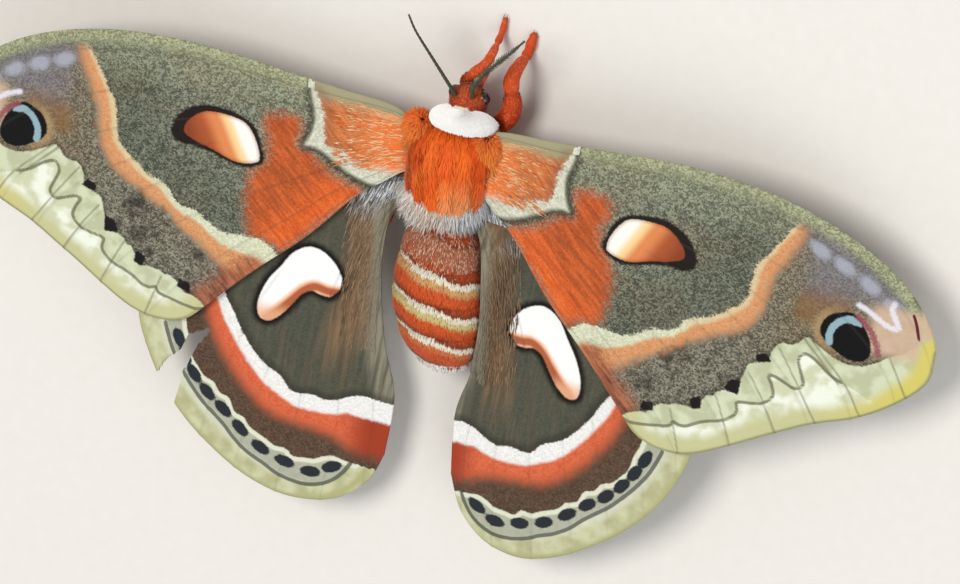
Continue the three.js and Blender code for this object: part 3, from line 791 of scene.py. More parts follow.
    # the eyespot
    ring = rise(get("eye_rim"), 1.5, 0.4) * rise(get("across"), 60, 56)
    colour = mix(ring * 0.7, colour, "#a88a60")
    colour = mix(rise(get("eye_rim") + dither * 0.14, 0.14, -0.14), colour, "#0c0b0c")
    arc = rise(get("eye_arc") + dither * 0.2, 0.62, 0.36)
    colour = mix(arc * rise(get("pupil"), 2.35, 2.6), colour, "#8ba6af")
    streaks = rise(get("magenta") + dither * 0.5, 0.62, 0.2)
    colour = mix(streaks * 0.85, colour, "#8a4550")
    white = rise(get("zigzag") + dither * 0.4, 0.6, 0.15)
    colour = mix(white * 0.9, colour, "#dcd8e2")
    dash = rise(get("dash"), 0.3, 0.14)
    colour = mix(dash, colour, "#5b1f22")
    return finish_wing(p, colour, (0.25, "#4a4234"), (0.45, "#a3927c"), grain * 0.5, 0.035, (0.72, 0.22))


COMMA = [(12.3, -18.9), (12.6, -17.1), (13.8, -15.3), (15.6, -14.1), (17.5, -13.9), (19.5, -15.2),
         (21, -17.6), (22.5, -19.9), (23.5, -22.7), (23.6, -25.0), (22.9, -26.1), (21.7, -26.1),
         (20.3, -24.9), (18.9, -23.0), (17.6, -21.1), (16.3, -20.3), (15, -20.6), (13.6, -20.6)]
COMMA_INNER = [(12.6, -19.9), (14.2, -19.9), (15.9, -19.6), (17.4, -20.5), (19, -22.4),
               (20.6, -24.3), (22.3, -25.9)]
WHITE_INNER = [(2.5, -35.3), (5, -35.1), (7, -34.7), (8.8, -34.9), (10.5, -35.7), (12.5, -36.4),
               (14.3, -36.0), (16, -36.1), (17.5, -36.0), (18.4, -35.1), (19.5, -33.9),
               (21.5, -32.9), (23, -31.7), (24.5, -29.9), (26, -27.6), (27, -25.6), (28.4, -23.4),
               (29.6, -21)]
WHITE_OUTER = [(2.5, -38.6), (5.3, -38.2), (8, -37.9), (9.6, -37.7), (11, -38.2), (13, -38.5),
               (16, -38.3), (17.5, -37.9), (19.5, -36.8), (21.5, -35.7), (23.5, -33.8),
               (25.3, -31.6), (27, -29.0), (28.3, -26.9), (29.1, -25), (30.4, -22.5)]
RED_OUTER = [(2.5, -44.6), (6, -43.8), (9, -43.2), (10.5, -42.2), (13, -41.5), (16, -41.1),
             (19, -40.5), (21.5, -39.4), (24, -37.4), (26, -35.3), (28, -32.6), (29.6, -29.8),
             (30.6, -27.5), (31.6, -24.5)]
SCALLOP = [(7.6, -45.2), (9.3, -44.9), (10.9, -44.6), (12.3, -45.1), (13.5, -45.7), (14.9, -45.8),
           (16.4, -45.9), (17.4, -44.9), (19, -44.8), (20.2, -44.1), (21.6, -43.4), (22.8, -42.8),
           (23.8, -41.6), (25.3, -41.0), (26.2, -39.2), (27.6, -38.6), (28.6, -37.2), (30, -36.6),
           (31.2, -35.2), (32.1, -34), (32.6, -31.8), (33.3, -30), (33.6, -28)]
BLACK_SPOTS = [(10.8, -46.3), (13.7, -47.7), (17.4, -46.9), (21.0, -45.5), (24.2, -43.3), (26.9, -41),
               (29.4, -38.9), (31.5, -36.6), (33.1, -34.2), (34.3, -31.8)]
SPOT_WAYS = unit(np.gradient(np.array(BLACK_SPOTS), axis=0))
FINE_LINE = [(8.2, -45.2), (9.2, -46.9), (10.5, -48.3), (12.2, -49.3), (14.2, -49.8), (16.4, -49.6),
             (18.7, -48.8), (20.4, -47.8), (22.7, -46.7), (24.8, -45.2), (26.6, -43.4), (28.3, -41.9),
             (30, -40.4), (31.6, -38.6), (33.2, -36.6), (34.8, -34.2), (35.8, -32), (36.5, -30)]


def hindwing_values(xy):
    x, y = xy.T
    spots = []
    for (a, b), way in zip(BLACK_SPOTS, SPOT_WAYS):
        along_row = (x - a) * way[0] + (y - b) * way[1]
        over_row = (y - b) * way[0] - (x - a) * way[1]
        spots.append(np.hypot(along_row * 0.66, over_row * 1.2))
    near = dict(outer=HINDWING["margin"], inner=HINDWING["inner"], comma_inner=COMMA_INNER,
                fine_line=FINE_LINE)
    past = dict(white_in=WHITE_INNER, white_out=WHITE_OUTER, red_out=RED_OUTER, scallop=SCALLOP,
                dark_line=FINE_LINE)
    return line_values(xy, near, past, dict(comma=COMMA)) | dict(spots=np.min(spots, axis=0))


def hindwing_paint():
    p = Paint("hindwing scales", 0.88, 0.1)
    get, mix, rise = p.value, p.mix, p.rise
    grain, blotch, dither, rough = scale_noise(p, 0.5, 1.1)
    jitter = dither + rough
    streak = p.noise(0.7, 4, 0.6, stretch=(86, 12, 1))
    # olive-black disc with brown hairs down its inner part
    disc = mix(grain * 0.5 + blotch * 0.5, "#3a3d33", "#56574a")
    disc = mix(rise(streak, 0.42, 0.68) * 0.35, disc, "#6a5c49")
    brown = mix(rise(streak, 0.3, 0.7), "#604c39", "#8c6e50")
    lean = get("across") + get("along") * 0.14
    brown_zone = rise(lean, 4.2, 6.4) * rise(lean, 11.4, 8.2)
    brown_zone = brown_zone * rise(get("along"), -36, -22)
    colour = mix(brown_zone * 0.9, disc, brown)
    fold = rise(get("inner") + jitter * 0.6, 3.0, 0.8)
    fold_colour = mix(rise(streak, 0.3, 0.7), "#5f5b4b", "#8d8a77")
    colour = mix(fold * 0.85, colour, fold_colour)
    # white, red and maroon bands
    white = mix(grain, "#d8d5d0", "#ebebe8")
    red = mix(grain * 0.4 + blotch * 0.6, "#b04022", "#e27850")
    red = mix(rise(get("across"), 11, 6), red, "#9a3a22")
    maroon = mix(grain * 0.6 + blotch * 0.4, "#35261d", "#6a5443")
    bands = mix(rise(get("white_out") + jitter * 0.4, -0.35, 0.3), white, red)
    bands = mix(rise(get("red_out") + jitter * 1.6, -1.5, 1.0), bands, maroon)
    in_band = rise(get("white_in") + jitter * 0.25, -0.14, 0.14)
    edge_dark = rise(get("white_in") + rough * 0.6, -1.6, -0.2)
    colour = mix(edge_dark * 0.55, colour, "#242219")
    colour = mix(in_band, colour, bands)
    # pale margin with its spots and lines
    pale = mix(p.noise(1.5, 2), "#b9b99f", "#d4d6be")
    cream = mix(rise(p.noise(2.6, 2), 0.3, 0.7), "#a9a980", "#c3c59f")
    margin = mix(rise(get("outer"), 3.4, 2.2), pale, cream)
    margin = mix(rise(get("outer") + rough * 0.5, 1.0, 0.1), margin, "#a9a878")
    margin = mix(rise(get("dark_line"), -0.1, -0.5), margin, mix(blotch, "#989986", "#b4b6a2"))
    wave_line = rise(get("scallop"), 0.85, 0.55)
    margin = mix(wave_line, margin, "#d3d5bf")
    margin = mix(rise(get("spots") + jitter * 0.2, 1.12, 0.88), margin, "#262b30")
    lines = rise(get("fine_line") + rough * 0.1, 0.38, 0.2)
    margin = mix(lines * 0.85, margin, "#464a44")
    past = rise(get("scallop") + dither * 0.15, -0.12, 0.15)
    colour = mix(past, colour, margin)
    # the white comma in its dark ring
    ring = rise(get("comma") + rough * 0.35, 1.25, 0.25)
    colour = mix(ring, colour, "#14120f")
    glow = mix(rise(get("comma_inner") + rough * 0.25, 1.35, 0.65), "#efefec", "#e9b390")
    glow = mix(rise(get("comma_inner"), 0.85, 0.3), glow, "#a95b39")
    glow = mix(rise(get("along"), -22.8, -25.2) * 0.8, glow, "#dfa883")
    colour = mix(rise(get("comma") + dither * 0.14, 0.14, -0.16), colour, glow)
    return finish_wing(p, colour, (0.18, "#3a342b"), (0.35, "#9a8772"), streak * 0.6, 0.04, (0.74, 0.2))


def wings():
    fore, hind = forewing_paint(), hindwing_paint()
    for name, side in (("left", -1), ("right", 1)):
        piece = build_wing(f"wing_fore_{name}", FOREWING, side, forewing_values)
        dress(piece, fore, "forewings", f"forewing_{name}")
        piece = build_wing(f"wing_hind_{name}", HINDWING, side, hindwing_values)
        dress(piece, hind, "hindwings", f"hindwing_{name}")


# Body
BODY_X = 1.0  # its middle line lies this far to her right of the wings' middle line
# Lengths of the body: x and z of the middle, front and rear along y
THORAX = dict(x=BODY_X, z=8.2, front=9.2, rear=-4.2, wide=5.4, high=4.6, blunt=2.6)
HEAD = dict(x=HEAD_X, z=7.0, front=14.3, rear=10.0, wide=2.6, high=2.4, blunt=2.1)
ABDOMEN = dict(x=BODY_X, z=7.5, front=-4.5, rear=-27.8, wide=7.2, high=6.2, widest=0.5,
               shoulder=0.2, blunt=2.3, tail_drop=0.8, tail_turn=2.1)
RUFF = dict(x=2.2, z=8.7, front=11.7, rear=8.5, wide=4.6, high=3.7, blunt=2.1)
BAND_LEAN = 0.2  # how much further back a band lies for each mm to her right
BAND_FIRST = -11.3  # where the first white band of the abdomen starts
BAND_STEP = 4.85
GROOVE_DEPTH = 0.45
EYE_APART = 2.0
EYE_BALL = 0.98
EYE_CLEAR = 0.72  # the head's coat keeps this far from the middle of an eye
# The radius of a leg at its hip, thigh, knee, ankle and foot
LEG_RADII = dict(
    foreleg_left=[1.1, 1.1, 0.95, 0.7, 0.55],
    foreleg_right=[1.3, 1.6, 1.3, 0.95, 0.75],
    others=[1.2, 1.25, 1.05, 0.7, 0.52],
)
PINCHES = (0.46, 0.8)  # shares of a leg's length where its joints are narrow
MIDLEG = [(-1.5, 2.2, 6), (-6, 2.6, 5.2), (-8.8, 2.9, 6.2), (-10.6, 3, 0.6), (-13.4, 3.2, 0.4)]
HINDLEG = [(-1.2, -0.8, 6), (-6.6, -4.4, 4), (-8.6, -9.4, 4.4), (-10, -13.8, 0.6), (-11.2, -17.2, 0.4)]


def mirrored(path):
    """A path on her left, on her right instead."""
    return [(2 * BODY_X - x, y, z) for x, y, z in path]


LEGS = dict(
    foreleg_left=[(-0.8, 7, 5.6), (0.3, 11.6, 3.4), (0.9, 14.6, 5.4), (3.5, 17.9, 6.2),
                  (3.5, 20.2, 1.2), (3.6, 22.3, 0.5)],
    foreleg_right=[(3.6, 6.6, 5.6), (7.3, 10.8, 4.8), (7.4, 16.6, 6.4), (7.5, 18.5, 0.6),
                   (7.9, 20.9, 0.4)],
    midleg_left=MIDLEG,
    midleg_right=mirrored(MIDLEG),
    hindleg_left=HINDLEG,
    hindleg_right=mirrored(HINDLEG),
)
ANTENNAE = dict(
    left=[(0.6, 12.9, 8.4), (-0.2, 15.4, 10.4), (-2.6, 19, 11.5), (-5.4, 22, 11.2), (-6.9, 23.9, 10.6)],
    right=[(2.9, 13.2, 8.4), (3.4, 15.6, 10.4), (5.4, 19, 11.4), (8, 22, 10.9), (9.6, 24, 10.2)],
)
COMB_LEAN = dict(left=np.array([0.35, 0.3, 0.87]), right=np.array([0.55, 0.16, 0.8]))
PALPS = [[(1.9, 11.7, 5.0), (2.6, 14.0, 5.2), (3.4, 16.0, 4.8)],
         [(1.5, 11.7, 5.0), (1.2, 13.6, 4.8), (1.0, 15.0, 4.6)]]
SHOULDERS = [(-3.9, 7.9, 9.0), (6.1, 7.6, 9.2)]
SHOULDER_RADIUS = 1.45
NECK = [(BODY_X, 6.0, 8.0), (1.6, 10.0, 8.0), (1.9, 12.0, 7.2)]
WAIST = [(BODY_X, 0.0, 8.0), (BODY_X, -4.0, 7.8), (BODY_X, -8.0, 7.6)]
NECK_RADIUS, WAIST_RADIUS = 2.2, 3.6
VOXEL = 0.22
BODY_Z = 7.8  # the height of the line that the body's unwrap turns about
# Where the body's unwrap starts behind, and how long it is
UNWRAP_REAR, UNWRAP_LENGTH = 28.5, 53


def egg_share(t, blunt):
    return np.maximum(0, 1 - np.abs(2 * t - 1) ** blunt) ** (1 / blunt)


def egg_point(size, y, angle, inset=0.0):
    """A place on a length of the body: angle from its top, positive to her right."""
    t = (y - size["rear"]) / (size["front"] - size["rear"])
    share = egg_share(t, size["blunt"])
    x = size["x"] + np.sin(angle) * (size["wide"] * share - inset)
    z = size["z"] + np.cos(angle) * (size["high"] * share - inset)
    return np.stack([x, y + 0 * x, z], -1)


def abdomen_share(t):
    front = np.minimum(t / ABDOMEN["widest"], 1)
    tail = np.maximum((t - ABDOMEN["widest"]) / (1 - ABDOMEN["widest"]), 0)
    shoulder = np.maximum(front, 1e-6) ** ABDOMEN["shoulder"]
    return shoulder * egg_share(0.5 + tail / 2, ABDOMEN["blunt"])


def abdomen_point(size, y, angle, inset=0.0):
    t = np.clip((size["front"] - y) / (size["front"] - size["rear"]), 0, 1)
    ring = np.abs(np.sin(np.pi * (y - BAND_FIRST) / BAND_STEP))
    groove = GROOVE_DEPTH * (1 - np.sqrt(ring)) * np.clip((1 - t) * 6, 0, 1) + inset
    wide = np.maximum(size["wide"] * abdomen_share(t) - groove, 0)
    high = np.maximum(size["high"] * abdomen_share(t) - groove, 0)
    x = size["x"] + size["tail_turn"] * t * t + np.sin(angle) * wide
    z = size["z"] - size["tail_drop"] * t * t + np.cos(angle) * high
    return np.stack([x, y + 0 * x, z], -1)


def surface_frame(point, size, y, angle, inset=0.0):
    """Root, outward normal and backward direction at places on a length of the body."""
    root = point(size, y, angle, inset)
    step = 0.02
    back = point(size, y - step, angle, inset) - root
    around = point(size, y, angle + step, inset) - root
    normal = unit(np.cross(around, back))
    outward = np.stack([np.sin(angle), 0 * y, np.cos(angle)], -1)
    normal *= np.sign((normal * outward).sum(-1, keepdims=True) + 1e-9)
    back = unit(back - normal * (back * normal).sum(-1, keepdims=True))
    return root, normal, back


def ring_faces(rings, sides):
    """Triangles of a closed body: rings of points, then the middle of its first and last ring."""
    i, j = np.meshgrid(np.arange(rings - 1), np.arange(sides), indexing="ij")
    a, b = (i * sides + j).ravel(), (i * sides + (j + 1) % sides).ravel()
    j = np.arange(sides)
    k = (j + 1) % sides
    last = (rings - 1) * sides
    middle = np.full(sides, rings * sides)
    return np.vstack([
        np.c_[a, b, b + sides],
        np.c_[a, b + sides, a + sides],
        np.c_[k, j, middle],
        np.c_[last + j, last + k, middle + 1],
    ])


def tube(line, radii, sides=16):
    """Points and triangles of a closed round body along a line of points."""
    line = np.asarray(line, float)
    along = unit(np.gradient(line, axis=0))
    across = unit(np.cross(along, [0, 0, 1.0]) + 1e-9)
    over = np.cross(across, along)
    angle = np.arange(sides) / sides * 2 * np.pi
    ring = (
        line[:, None]
        + across[:, None] * (np.cos(angle)[None, :, None] * radii[:, None, None])
        + over[:, None] * (np.sin(angle)[None, :, None] * radii[:, None, None])
    ).reshape(-1, 3)
    return np.vstack([ring, line[:1], line[-1:]]), ring_faces(len(line), sides)


def ball(middle, radius, rings=20, sides=20, cut=0.05):
    polar = np.linspace(cut, np.pi - cut, rings)
    line = np.array(middle) + np.c_[np.cos(polar), 0 * polar, 0 * polar] * radius
    return tube(line, np.sin(polar) * radius, sides)


def shell(point, size, front, rear, inset, rings=60, sides=48):
    """A closed shell of a length of the body, from front to rear."""
    share = (1 - np.cos(np.linspace(0, np.pi, rings))) / 2
    angle = np.arange(sides) / sides * 2 * np.pi
    yy, aa = np.meshgrid(front + (rear - front) * share, angle, indexing="ij")
    ring = point(size, yy.ravel(), aa.ravel(), inset)
    middle = ring.reshape(rings, sides, 3).mean(1)
    return np.vstack([ring, middle[:1], middle[-1:]]), ring_faces(rings, sides)[:, ::-1]


def join_parts(parts):
    points, faces, count = [], [], 0
    for p, f in parts:
        points.append(p)
        faces.append(f + count)
        count += len(p)
    return np.vstack(points), np.vstack(faces)


def leg_radius(name, t):
    radii = LEG_RADII.get(name, LEG_RADII["others"])
    radius = np.interp(t * (len(radii) - 1), np.arange(len(radii)), radii)
    for place in PINCHES:
        radius = radius * (1 - 0.3 * np.exp(-(((t - place) / 0.028) ** 2)))
    return radius


def skin_parts():
    """Closed bodies that run into each other, a little thinner than the solids."""
    parts = [
        shell(egg_point, THORAX, 9.1, -4.1, 0.45),
        shell(egg_point, RUFF, 12.25, 8.95, 0.35),
        shell(egg_point, HEAD, 14.5, 10.1, 0.35),
        shell(abdomen_point, ABDOMEN, -3.2, -27.4, 0.55, rings=120),
        tube(spline_points(NECK, 12), np.full(12, NECK_RADIUS)),
        tube(spline_points(WAIST, 12), np.full(12, WAIST_RADIUS)),
    ]
    parts += [tube(spline_points(palp, 16), np.linspace(0.75, 0.4, 16)) for palp in PALPS]
    parts += [ball(place, SHOULDER_RADIUS) for place in SHOULDERS]
    for name, path in LEGS.items():
        line = spline_points(path, 80)
        t = np.linspace(0, 1, len(line))
        foot_rings = 1 + 0.12 * np.cos(t * 60) * (t > 0.8)
        radius = (leg_radius(name, t) - 0.12) * foot_rings
        line[:, 2] = np.maximum(line[:, 2], radius * 0.85 + 0.03)
        parts += [tube(line, radius), ball(line[-1], radius[-1] * 1.05)]
    return parts


def melt(piece):
    """Makes one smooth skin of the bodies of a piece, above the floor, and gives its points."""
    bpy.context.view_layer.objects.active = piece
    one = piece.modifiers.new("one", "REMESH")
    one.mode = "VOXEL"
    one.voxel_size = VOXEL * MM
    one.use_smooth_shade = True
    soft = piece.modifiers.new("soft", "SMOOTH")
    soft.factor = 0.5
    soft.iterations = 4
    piece.select_set(True)
    for name in ("one", "soft"):
        bpy.ops.object.modifier_apply(modifier=name)
    co = np.zeros(len(piece.data.vertices) * 3, np.float32)
    piece.data.vertices.foreach_get("co", co)
    co = co.reshape(-1, 3)
    co[:, 2] = np.maximum(co[:, 2], 0)
    piece.data.vertices.foreach_set("co", co.ravel())
    return co / MM - SHIFT


def skin():
    """One skin under the coat: head, ruff, thorax, abdomen and legs, without a seam."""
    points, faces = join_parts(skin_parts())
    piece = new_mesh("skin", to_row(points), faces)
    moth = melt(piece)
    set_value(piece, "coat", body_colour(moth))
    turn = np.arctan2(moth[:, 0] - BODY_X, moth[:, 2] - BODY_Z) / (2 * np.pi) + 0.5
    set_bake_map(piece, np.c_[0.02 + 0.96 * turn, (moth[:, 1] + UNWRAP_REAR) / UNWRAP_LENGTH])
    p = Paint("skin", 0.6, 0.3)
    mottle = p.noise(0.5, 3)
    p.bump(mottle, 0.05)
    material = p.finish(p.shade(p.colour("coat"), 0.55 + mottle * 0.6), 0.5 + mottle * 0.3)
    dress(piece, material, "thorax", "head", "collar", "thorax", "abdomen", *LEGS)


def blend(share, a, b):
    """Colours between a and b, one for each share."""
    share = np.clip(share, 0, 1)[..., None]
    return a * (1 - share) + b * share


ORANGE, BRIGHT, DEEP = linear("#e2500e"), linear("#fa7420"), linear("#9c2c0a")
TAN, WHITE, CREAM = linear("#e6a565"), linear("#fbf9f5"), linear("#e3dac4")
GREY, BLUE_GREY, DUSK = linear("#a9a79f"), linear("#8f9ba8"), linear("#4d4740")
YELLOW, RED, CREASE_SHADE_RED = linear("#cdbd7c"), linear("#cf5420"), linear("#7a3216")
DULL_RED, PINK_GREY = linear("#b36a4a"), linear("#c9a389")
LEG_RED, LEG_BRIGHT = linear("#cf491a"), linear("#f27a44")


def abdomen_colour(y, aside, wobble=0.0):
    """Rings of the abdomen: white, yellow, orange red, then dark red as painted shade in the crease
    before the next ring, again and again.
    """
    down = (BAND_FIRST - y + wobble - BAND_LEAN * aside) / BAND_STEP
    phase, number = down % 1.0, np.floor(down)
    colour = np.where((phase < 0.19)[:, None], CREAM, RED)
    yellow = np.clip((phase - 0.15) / 0.06, 0, 1) * np.clip((0.46 - phase) / 0.14, 0, 1)
    yellow = yellow * np.select([number == 1, number == 0], [1.0, 0.6], 0.2)
    colour = blend(yellow, colour, YELLOW)
    # Dark red towards the crease where the next white ring starts: painted shade in the crease
    colour = blend(np.clip((phase - 0.72) / 0.22, 0, 1) * 0.9, colour, CREASE_SHADE_RED)
    front = blend((phase - 0.45) / 0.4, DULL_RED * 0.85, RED * 0.7)
    # The same painted shade in the crease before the first white ring
    front = blend((phase - 0.86) / 0.1, front, CREASE_SHADE_RED)
    colour = np.where((number < 0)[:, None], front, colour)
    return blend((-26.2 - y) / 0.6, colour, CREAM)


def body_colour(moth):
    """Skin colour under the coat at points of the body."""
    x, y, z = moth.T
    colour = np.tile(DEEP, (len(moth), 1))
    # The abdomen's rings, painted darker under the coat: painted shade under the hair
    colour = np.where((y < -4.6)[:, None], abdomen_colour(y, x - ABDOMEN["x"]) * 0.8, colour)
    on_leg = ((z < 2.6) | (np.abs(x - BODY_X) > 6.0) | (y > 14.9)) & (y > -20)
    on_leg |= (z < 5.5) & (y > 9.5)
    colour = np.where(on_leg[:, None], LEG_RED, colour)
    ruff = (y > 9.3) & (y < 12.1) & (z > 9.4) & (np.abs(x - RUFF["x"]) < 4.4)
    return np.where(ruff[:, None], CREAM, colour)


# Coat
# How many tufts each coat is drawn from, in each of its layers, legs or sides
COUNTS = dict(back=10500, breast=2600, rear=5200, shoulder=3600, collar=7500, head=4000,
              abdomen=15500, tail=900, leg=2000, forewing_root=4600, hindwing_root=3600)
BACK_TURN = (-1.95, 1.95)
BREAST_TURN = (1.95, 4.33)
COLLAR_TURN = (-1.75, 1.75)
LAYERS = 2
LEG_STEPS = 400
LOWEST_HAIR = 0.02


@cache
def coat_paint():
    """The one material of all hair."""
    p = Paint("coat", 0.62, 0.22)
    strand = p.noise(0.12, 2, 0.5)
    p.sheen(0.25, 0.4)
    p.bump(strand, 0.03, 0.5)
    return p.finish(p.shade(p.colour("coat"), 0.72 + strand * 0.56), 0.54 + strand * 0.16)


def tuft_faces(rings):
    """Triangles of one tuft: three-cornered rings of points, then its tip."""
    tris = [(0, 1, 2)]
    for r in range(0, 3 * rings - 3, 3):
        for k in range(3):
            m = (k + 1) % 3
            tris += [(r + k, r + m + 3, r + m), (r + k, r + k + 3, r + m + 3)]
    last, tip = 3 * rings - 3, 3 * rings
    tris += [(last, tip, last + 1), (last + 1, tip, last + 2), (last + 2, tip, last)]
    return np.array(tris)[:, ::-1]


def tufts(name, slot, root, normal, lie, patch, length, width, lift, droop, at_root, at_tip,
          sunk=0.2, thickness=0.2, short=False, sway=0.16, vary=0.07):
    """A coat of flat tapered tufts.

    lie is the way that a tuft lies, patch is its place, 0 to 1, on the skin's unwrap. lift and
    droop are the heights of its middle and its tip as shares of its length, at_root and at_tip
    are its colours, sunk is the depth of its root, and sway and vary spread its way and its tone.
    """
    n = len(root)
    length, width, lift, droop = (np.broadcast_to(v, n)[:, None] for v in (length, width, lift, droop))
    side = unit(np.cross(normal, lie))
    swing = side * rng.normal(0, sway, (n, 1)) * length
    a = root - normal * sunk
    b = root + normal * lift * length + lie * 0.42 * length + swing * 0.3
    c = root + normal * droop * length + lie * length + swing
    rings = [(0.0, 0.85), (0.6, 0.85)] if short else [(0.0, 0.75), (0.4, 1.0), (0.78, 0.62)]
    points, along, facing = [], [], []
    for s, w in rings:
        middle = (1 - s) ** 2 * a + 2 * s * (1 - s) * b + s * s * c
        half = side * width * w / 2
        points += [middle - half, middle + half, middle + normal * width * w * thickness]
        facing += [normal - side * 0.45, normal + side * 0.45, normal]
        along += [s] * 3
    points.append(c)
    facing.append(normal + lie * 0.3)
    along.append(1.0)
    tip = 3 * len(rings)
    corners = np.arange(tip + 1)
    points = np.stack(points, 1)
    points[..., 2] = np.maximum(points[..., 2], LOWEST_HAIR)
    faces = (np.arange(n)[:, None, None] * len(corners) + tuft_faces(len(rings))).reshape(-1, 3)
    piece = new_mesh(name, to_row(points.reshape(-1, 3)), faces)
    set_normals(piece, unit(np.stack(facing, 1)).reshape(-1, 3))
    shade = rng.normal(1, vary, (n, 1, 1)).clip(0.6, 1.4)
    share = ease(np.array(along))[None, :, None]
    at_root = np.broadcast_to(at_root, (n, 3))[:, None]
    at_tip = np.broadcast_to(at_tip, (n, 3))[:, None]
    colour = (at_root * (1 - share) + at_tip * share) * shade
    set_value(piece, "coat", np.clip(colour, 0, 1).reshape(-1, 3))
    column = np.where(corners == tip, 0, corners % 3 - 1)
    local = np.stack([column * 0.0013 + 0.0015, corners // 3 * 0.001], 1)
    patch = np.clip(np.asarray(patch, float), 0, 1) * 0.99
    set_bake_map(piece, (patch[:, None] + local[None]).reshape(-1, 2))
    dress(piece, coat_paint(), slot)


def body_patch(y, angle):
    return np.c_[(angle / (2 * np.pi) + 0.5) % 1.0, (y + UNWRAP_REAR) / UNWRAP_LENGTH]


def spread(coat, point, size, inset, reach, turn=(-np.pi, np.pi)):
    """Random places on a length of the body, evenly by area: y, angle and the surface's frame."""
    count = COUNTS[coat]
    y = rng.uniform(*reach, count * 3)
    angle = rng.uniform(*turn, count * 3)
    t = (size["front"] - y) / (size["front"] - size["rear"])
    share = egg_share(t, size["blunt"]) if point is egg_point else abdomen_share(np.clip(t, 0, 1))
    keep = rng.random(count * 3) < np.clip(share, 0.12, 1)
    y, angle = y[keep][:count], angle[keep][:count]
    return y, angle, *surface_frame(point, size, y, angle, inset)


# The locks that the coat of the back is gathered in: place along y, angle from the top, turn
# of its hair to her right, tone, and how much tan its tips have
BACK_LOCKS = [
    (8.4, -1.25, -0.9, 0.35, 0), (8.6, -0.7, -0.5, 0.6, 0), (8.7, -0.15, -0.2, 0.35, 0),
    (8.7, 0.4, 0.05, 0.55, 0), (8.5, 0.95, 0.1, 0.3, 0), (8.2, 1.4, 0.5, 0.2, 0),
    (6.0, -1.3, -0.8, 0.9, 0.3), (6.2, -0.9, -0.6, 0.3, 0), (6.4, -0.4, -0.4, 0.75, 0),
    (6.2, 0.12, -0.15, 0.45, 0), (6.3, 0.6, 0.1, 0.8, 0.1), (6.0, 1.1, 0.3, 0.35, 0),
    (3.8, -1.35, -0.7, 0.8, 0.3), (3.6, -0.8, -0.6, 0.85, 0), (3.7, -0.3, -0.35, 0.4, 0),
    (3.4, 0.2, 0.0, 0.85, 0.5), (3.6, 0.62, 0.05, 0.5, 0.8), (3.2, 1.1, 0.2, 0.4, 0.2),
    (1.2, -1.2, -0.5, 0.45, 0), (1.0, -0.7, -0.4, 0.35, 0), (1.2, -0.2, -0.2, 0.7, 0),
    (1.0, 0.25, 0.05, 0.55, 0.8), (1.1, 0.7, 0.15, 0.6, 1.0), (1.0, 1.2, 0.25, 0.35, 0.5),
]
ANGLE_TO_MM = 4.6
LOCK_HALF_WIDTH = 1.12


def back_coat():
    locks = np.array(BACK_LOCKS)
    for k in range(LAYERS):
        y, angle, root, normal, back = spread("back", egg_point, THORAX, 0.5, (0.1, 9.0), BACK_TURN)
        rows = len(y)
        gap_y = y[:, None] - locks[:, 0]
        gap_a = (angle[:, None] - locks[:, 1]) * ANGLE_TO_MM
        gap = gap_y**2 * 0.3 + gap_a**2 + rng.normal(0, 0.1, (rows, len(locks)))
        _, middle, turn, tone, tan = locks[gap.argmin(1)].T
        off = (angle - middle) * ANGLE_TO_MM / LOCK_HALF_WIDTH
        rights = unit(np.cross(back, normal))
        gather = np.clip(-off, -1.2, 1.2) * 0.34
        lie = unit(back + rights * (turn * 0.95 + gather)[:, None])
        crest = np.clip(1 - off**2, 0, 1)
        length = rng.normal(2.9, 0.3, rows) * np.clip((10.4 - y) / 4.5, 0.5, 1) * (0.66 + 0.34 * crest)
        # Tips lighter with the lock's tone and, as a painted highlight, on each lock's crest; tips and
        # roots darker in the grooves between locks: painted shade
        tip = blend(tone * 1.2 + crest * 0.35 - 0.4 + rng.normal(0, 0.08, rows), ORANGE, BRIGHT)
        aside = np.abs(angle)
        groove = np.clip(1 - crest * 1.25, 0, 1) * np.clip((1.35 - aside) / 0.3, 0, 1)
        tip = blend(groove * 0.85, tip, DEEP)
        root_with_groove_shade = blend(np.maximum(crest, np.clip(aside - 0.9, 0, 1)), DEEP, ORANGE)
        tip = blend(tan * np.clip((5.0 - y) / 4 + 0.3, 0, 1) * rng.uniform(0.4, 1.1, rows), tip, TAN)
        tip = blend(np.clip((aside - 1.7) / 0.3, 0, 1) * 0.5, tip, DEEP)
        lift = 0.1 + 0.5 * crest + rng.normal(0, 0.03, rows)
        droop = 0.26 * crest + rng.normal(0, 0.03, rows)
        tufts(f"coat_thorax_{k + 1}", "thorax", root, normal, lie, body_patch(y, angle), length,
              width=0.17, lift=lift, droop=droop, at_root=root_with_groove_shade, at_tip=tip, sway=0.09)


def breast_coat():
    y, angle, root, normal, back = spread("breast", egg_point, THORAX, 0.5, (-3.7, 9.0), BREAST_TURN)
    tufts("coat_breast", "thorax", root, normal, back, body_patch(y, angle),
          length=rng.normal(1.9, 0.3, len(y)), width=0.2, lift=0.3, droop=0.12, at_root=DEEP,
          at_tip=ORANGE)


def rear_coat():
    """White and grey tufts that close the thorax off behind."""
    y, angle, root, normal, _ = spread("rear", egg_point, THORAX, 0.5, (-3.9, 0.5), BACK_TURN)
    rows = len(y)
    aside = np.sin(angle)
    lie = unit(np.stack([aside * 0.5 - 0.12, -np.ones(rows), 0.05 * np.cos(angle)], -1))
    grey = aside * 1.5 - 0.1 + rng.normal(0, 0.3, rows)
    streak = rng.random(rows)
    left = np.clip(-aside * 1.8 - 0.4, 0, 1)
    warm = blend(streak * (0.55 + left), linear("#bf9f80"), WHITE)
    tip = blend(grey, warm, blend(streak, BLUE_GREY, WHITE))
    # Roots painted darker than the tips, cream to grey like them: painted shade under the hair
    shade = blend(grey, CREAM * 0.8, GREY * 0.6)
    length = rng.normal(2.4, 0.5, rows) + 0.8 * np.clip(-aside, 0, 1)
    tufts("coat_rear", "thorax", root, normal, lie, body_patch(y, angle), length,
          width=0.18, lift=0.26, droop=0.13, at_root=shade, at_tip=tip, sway=0.14)


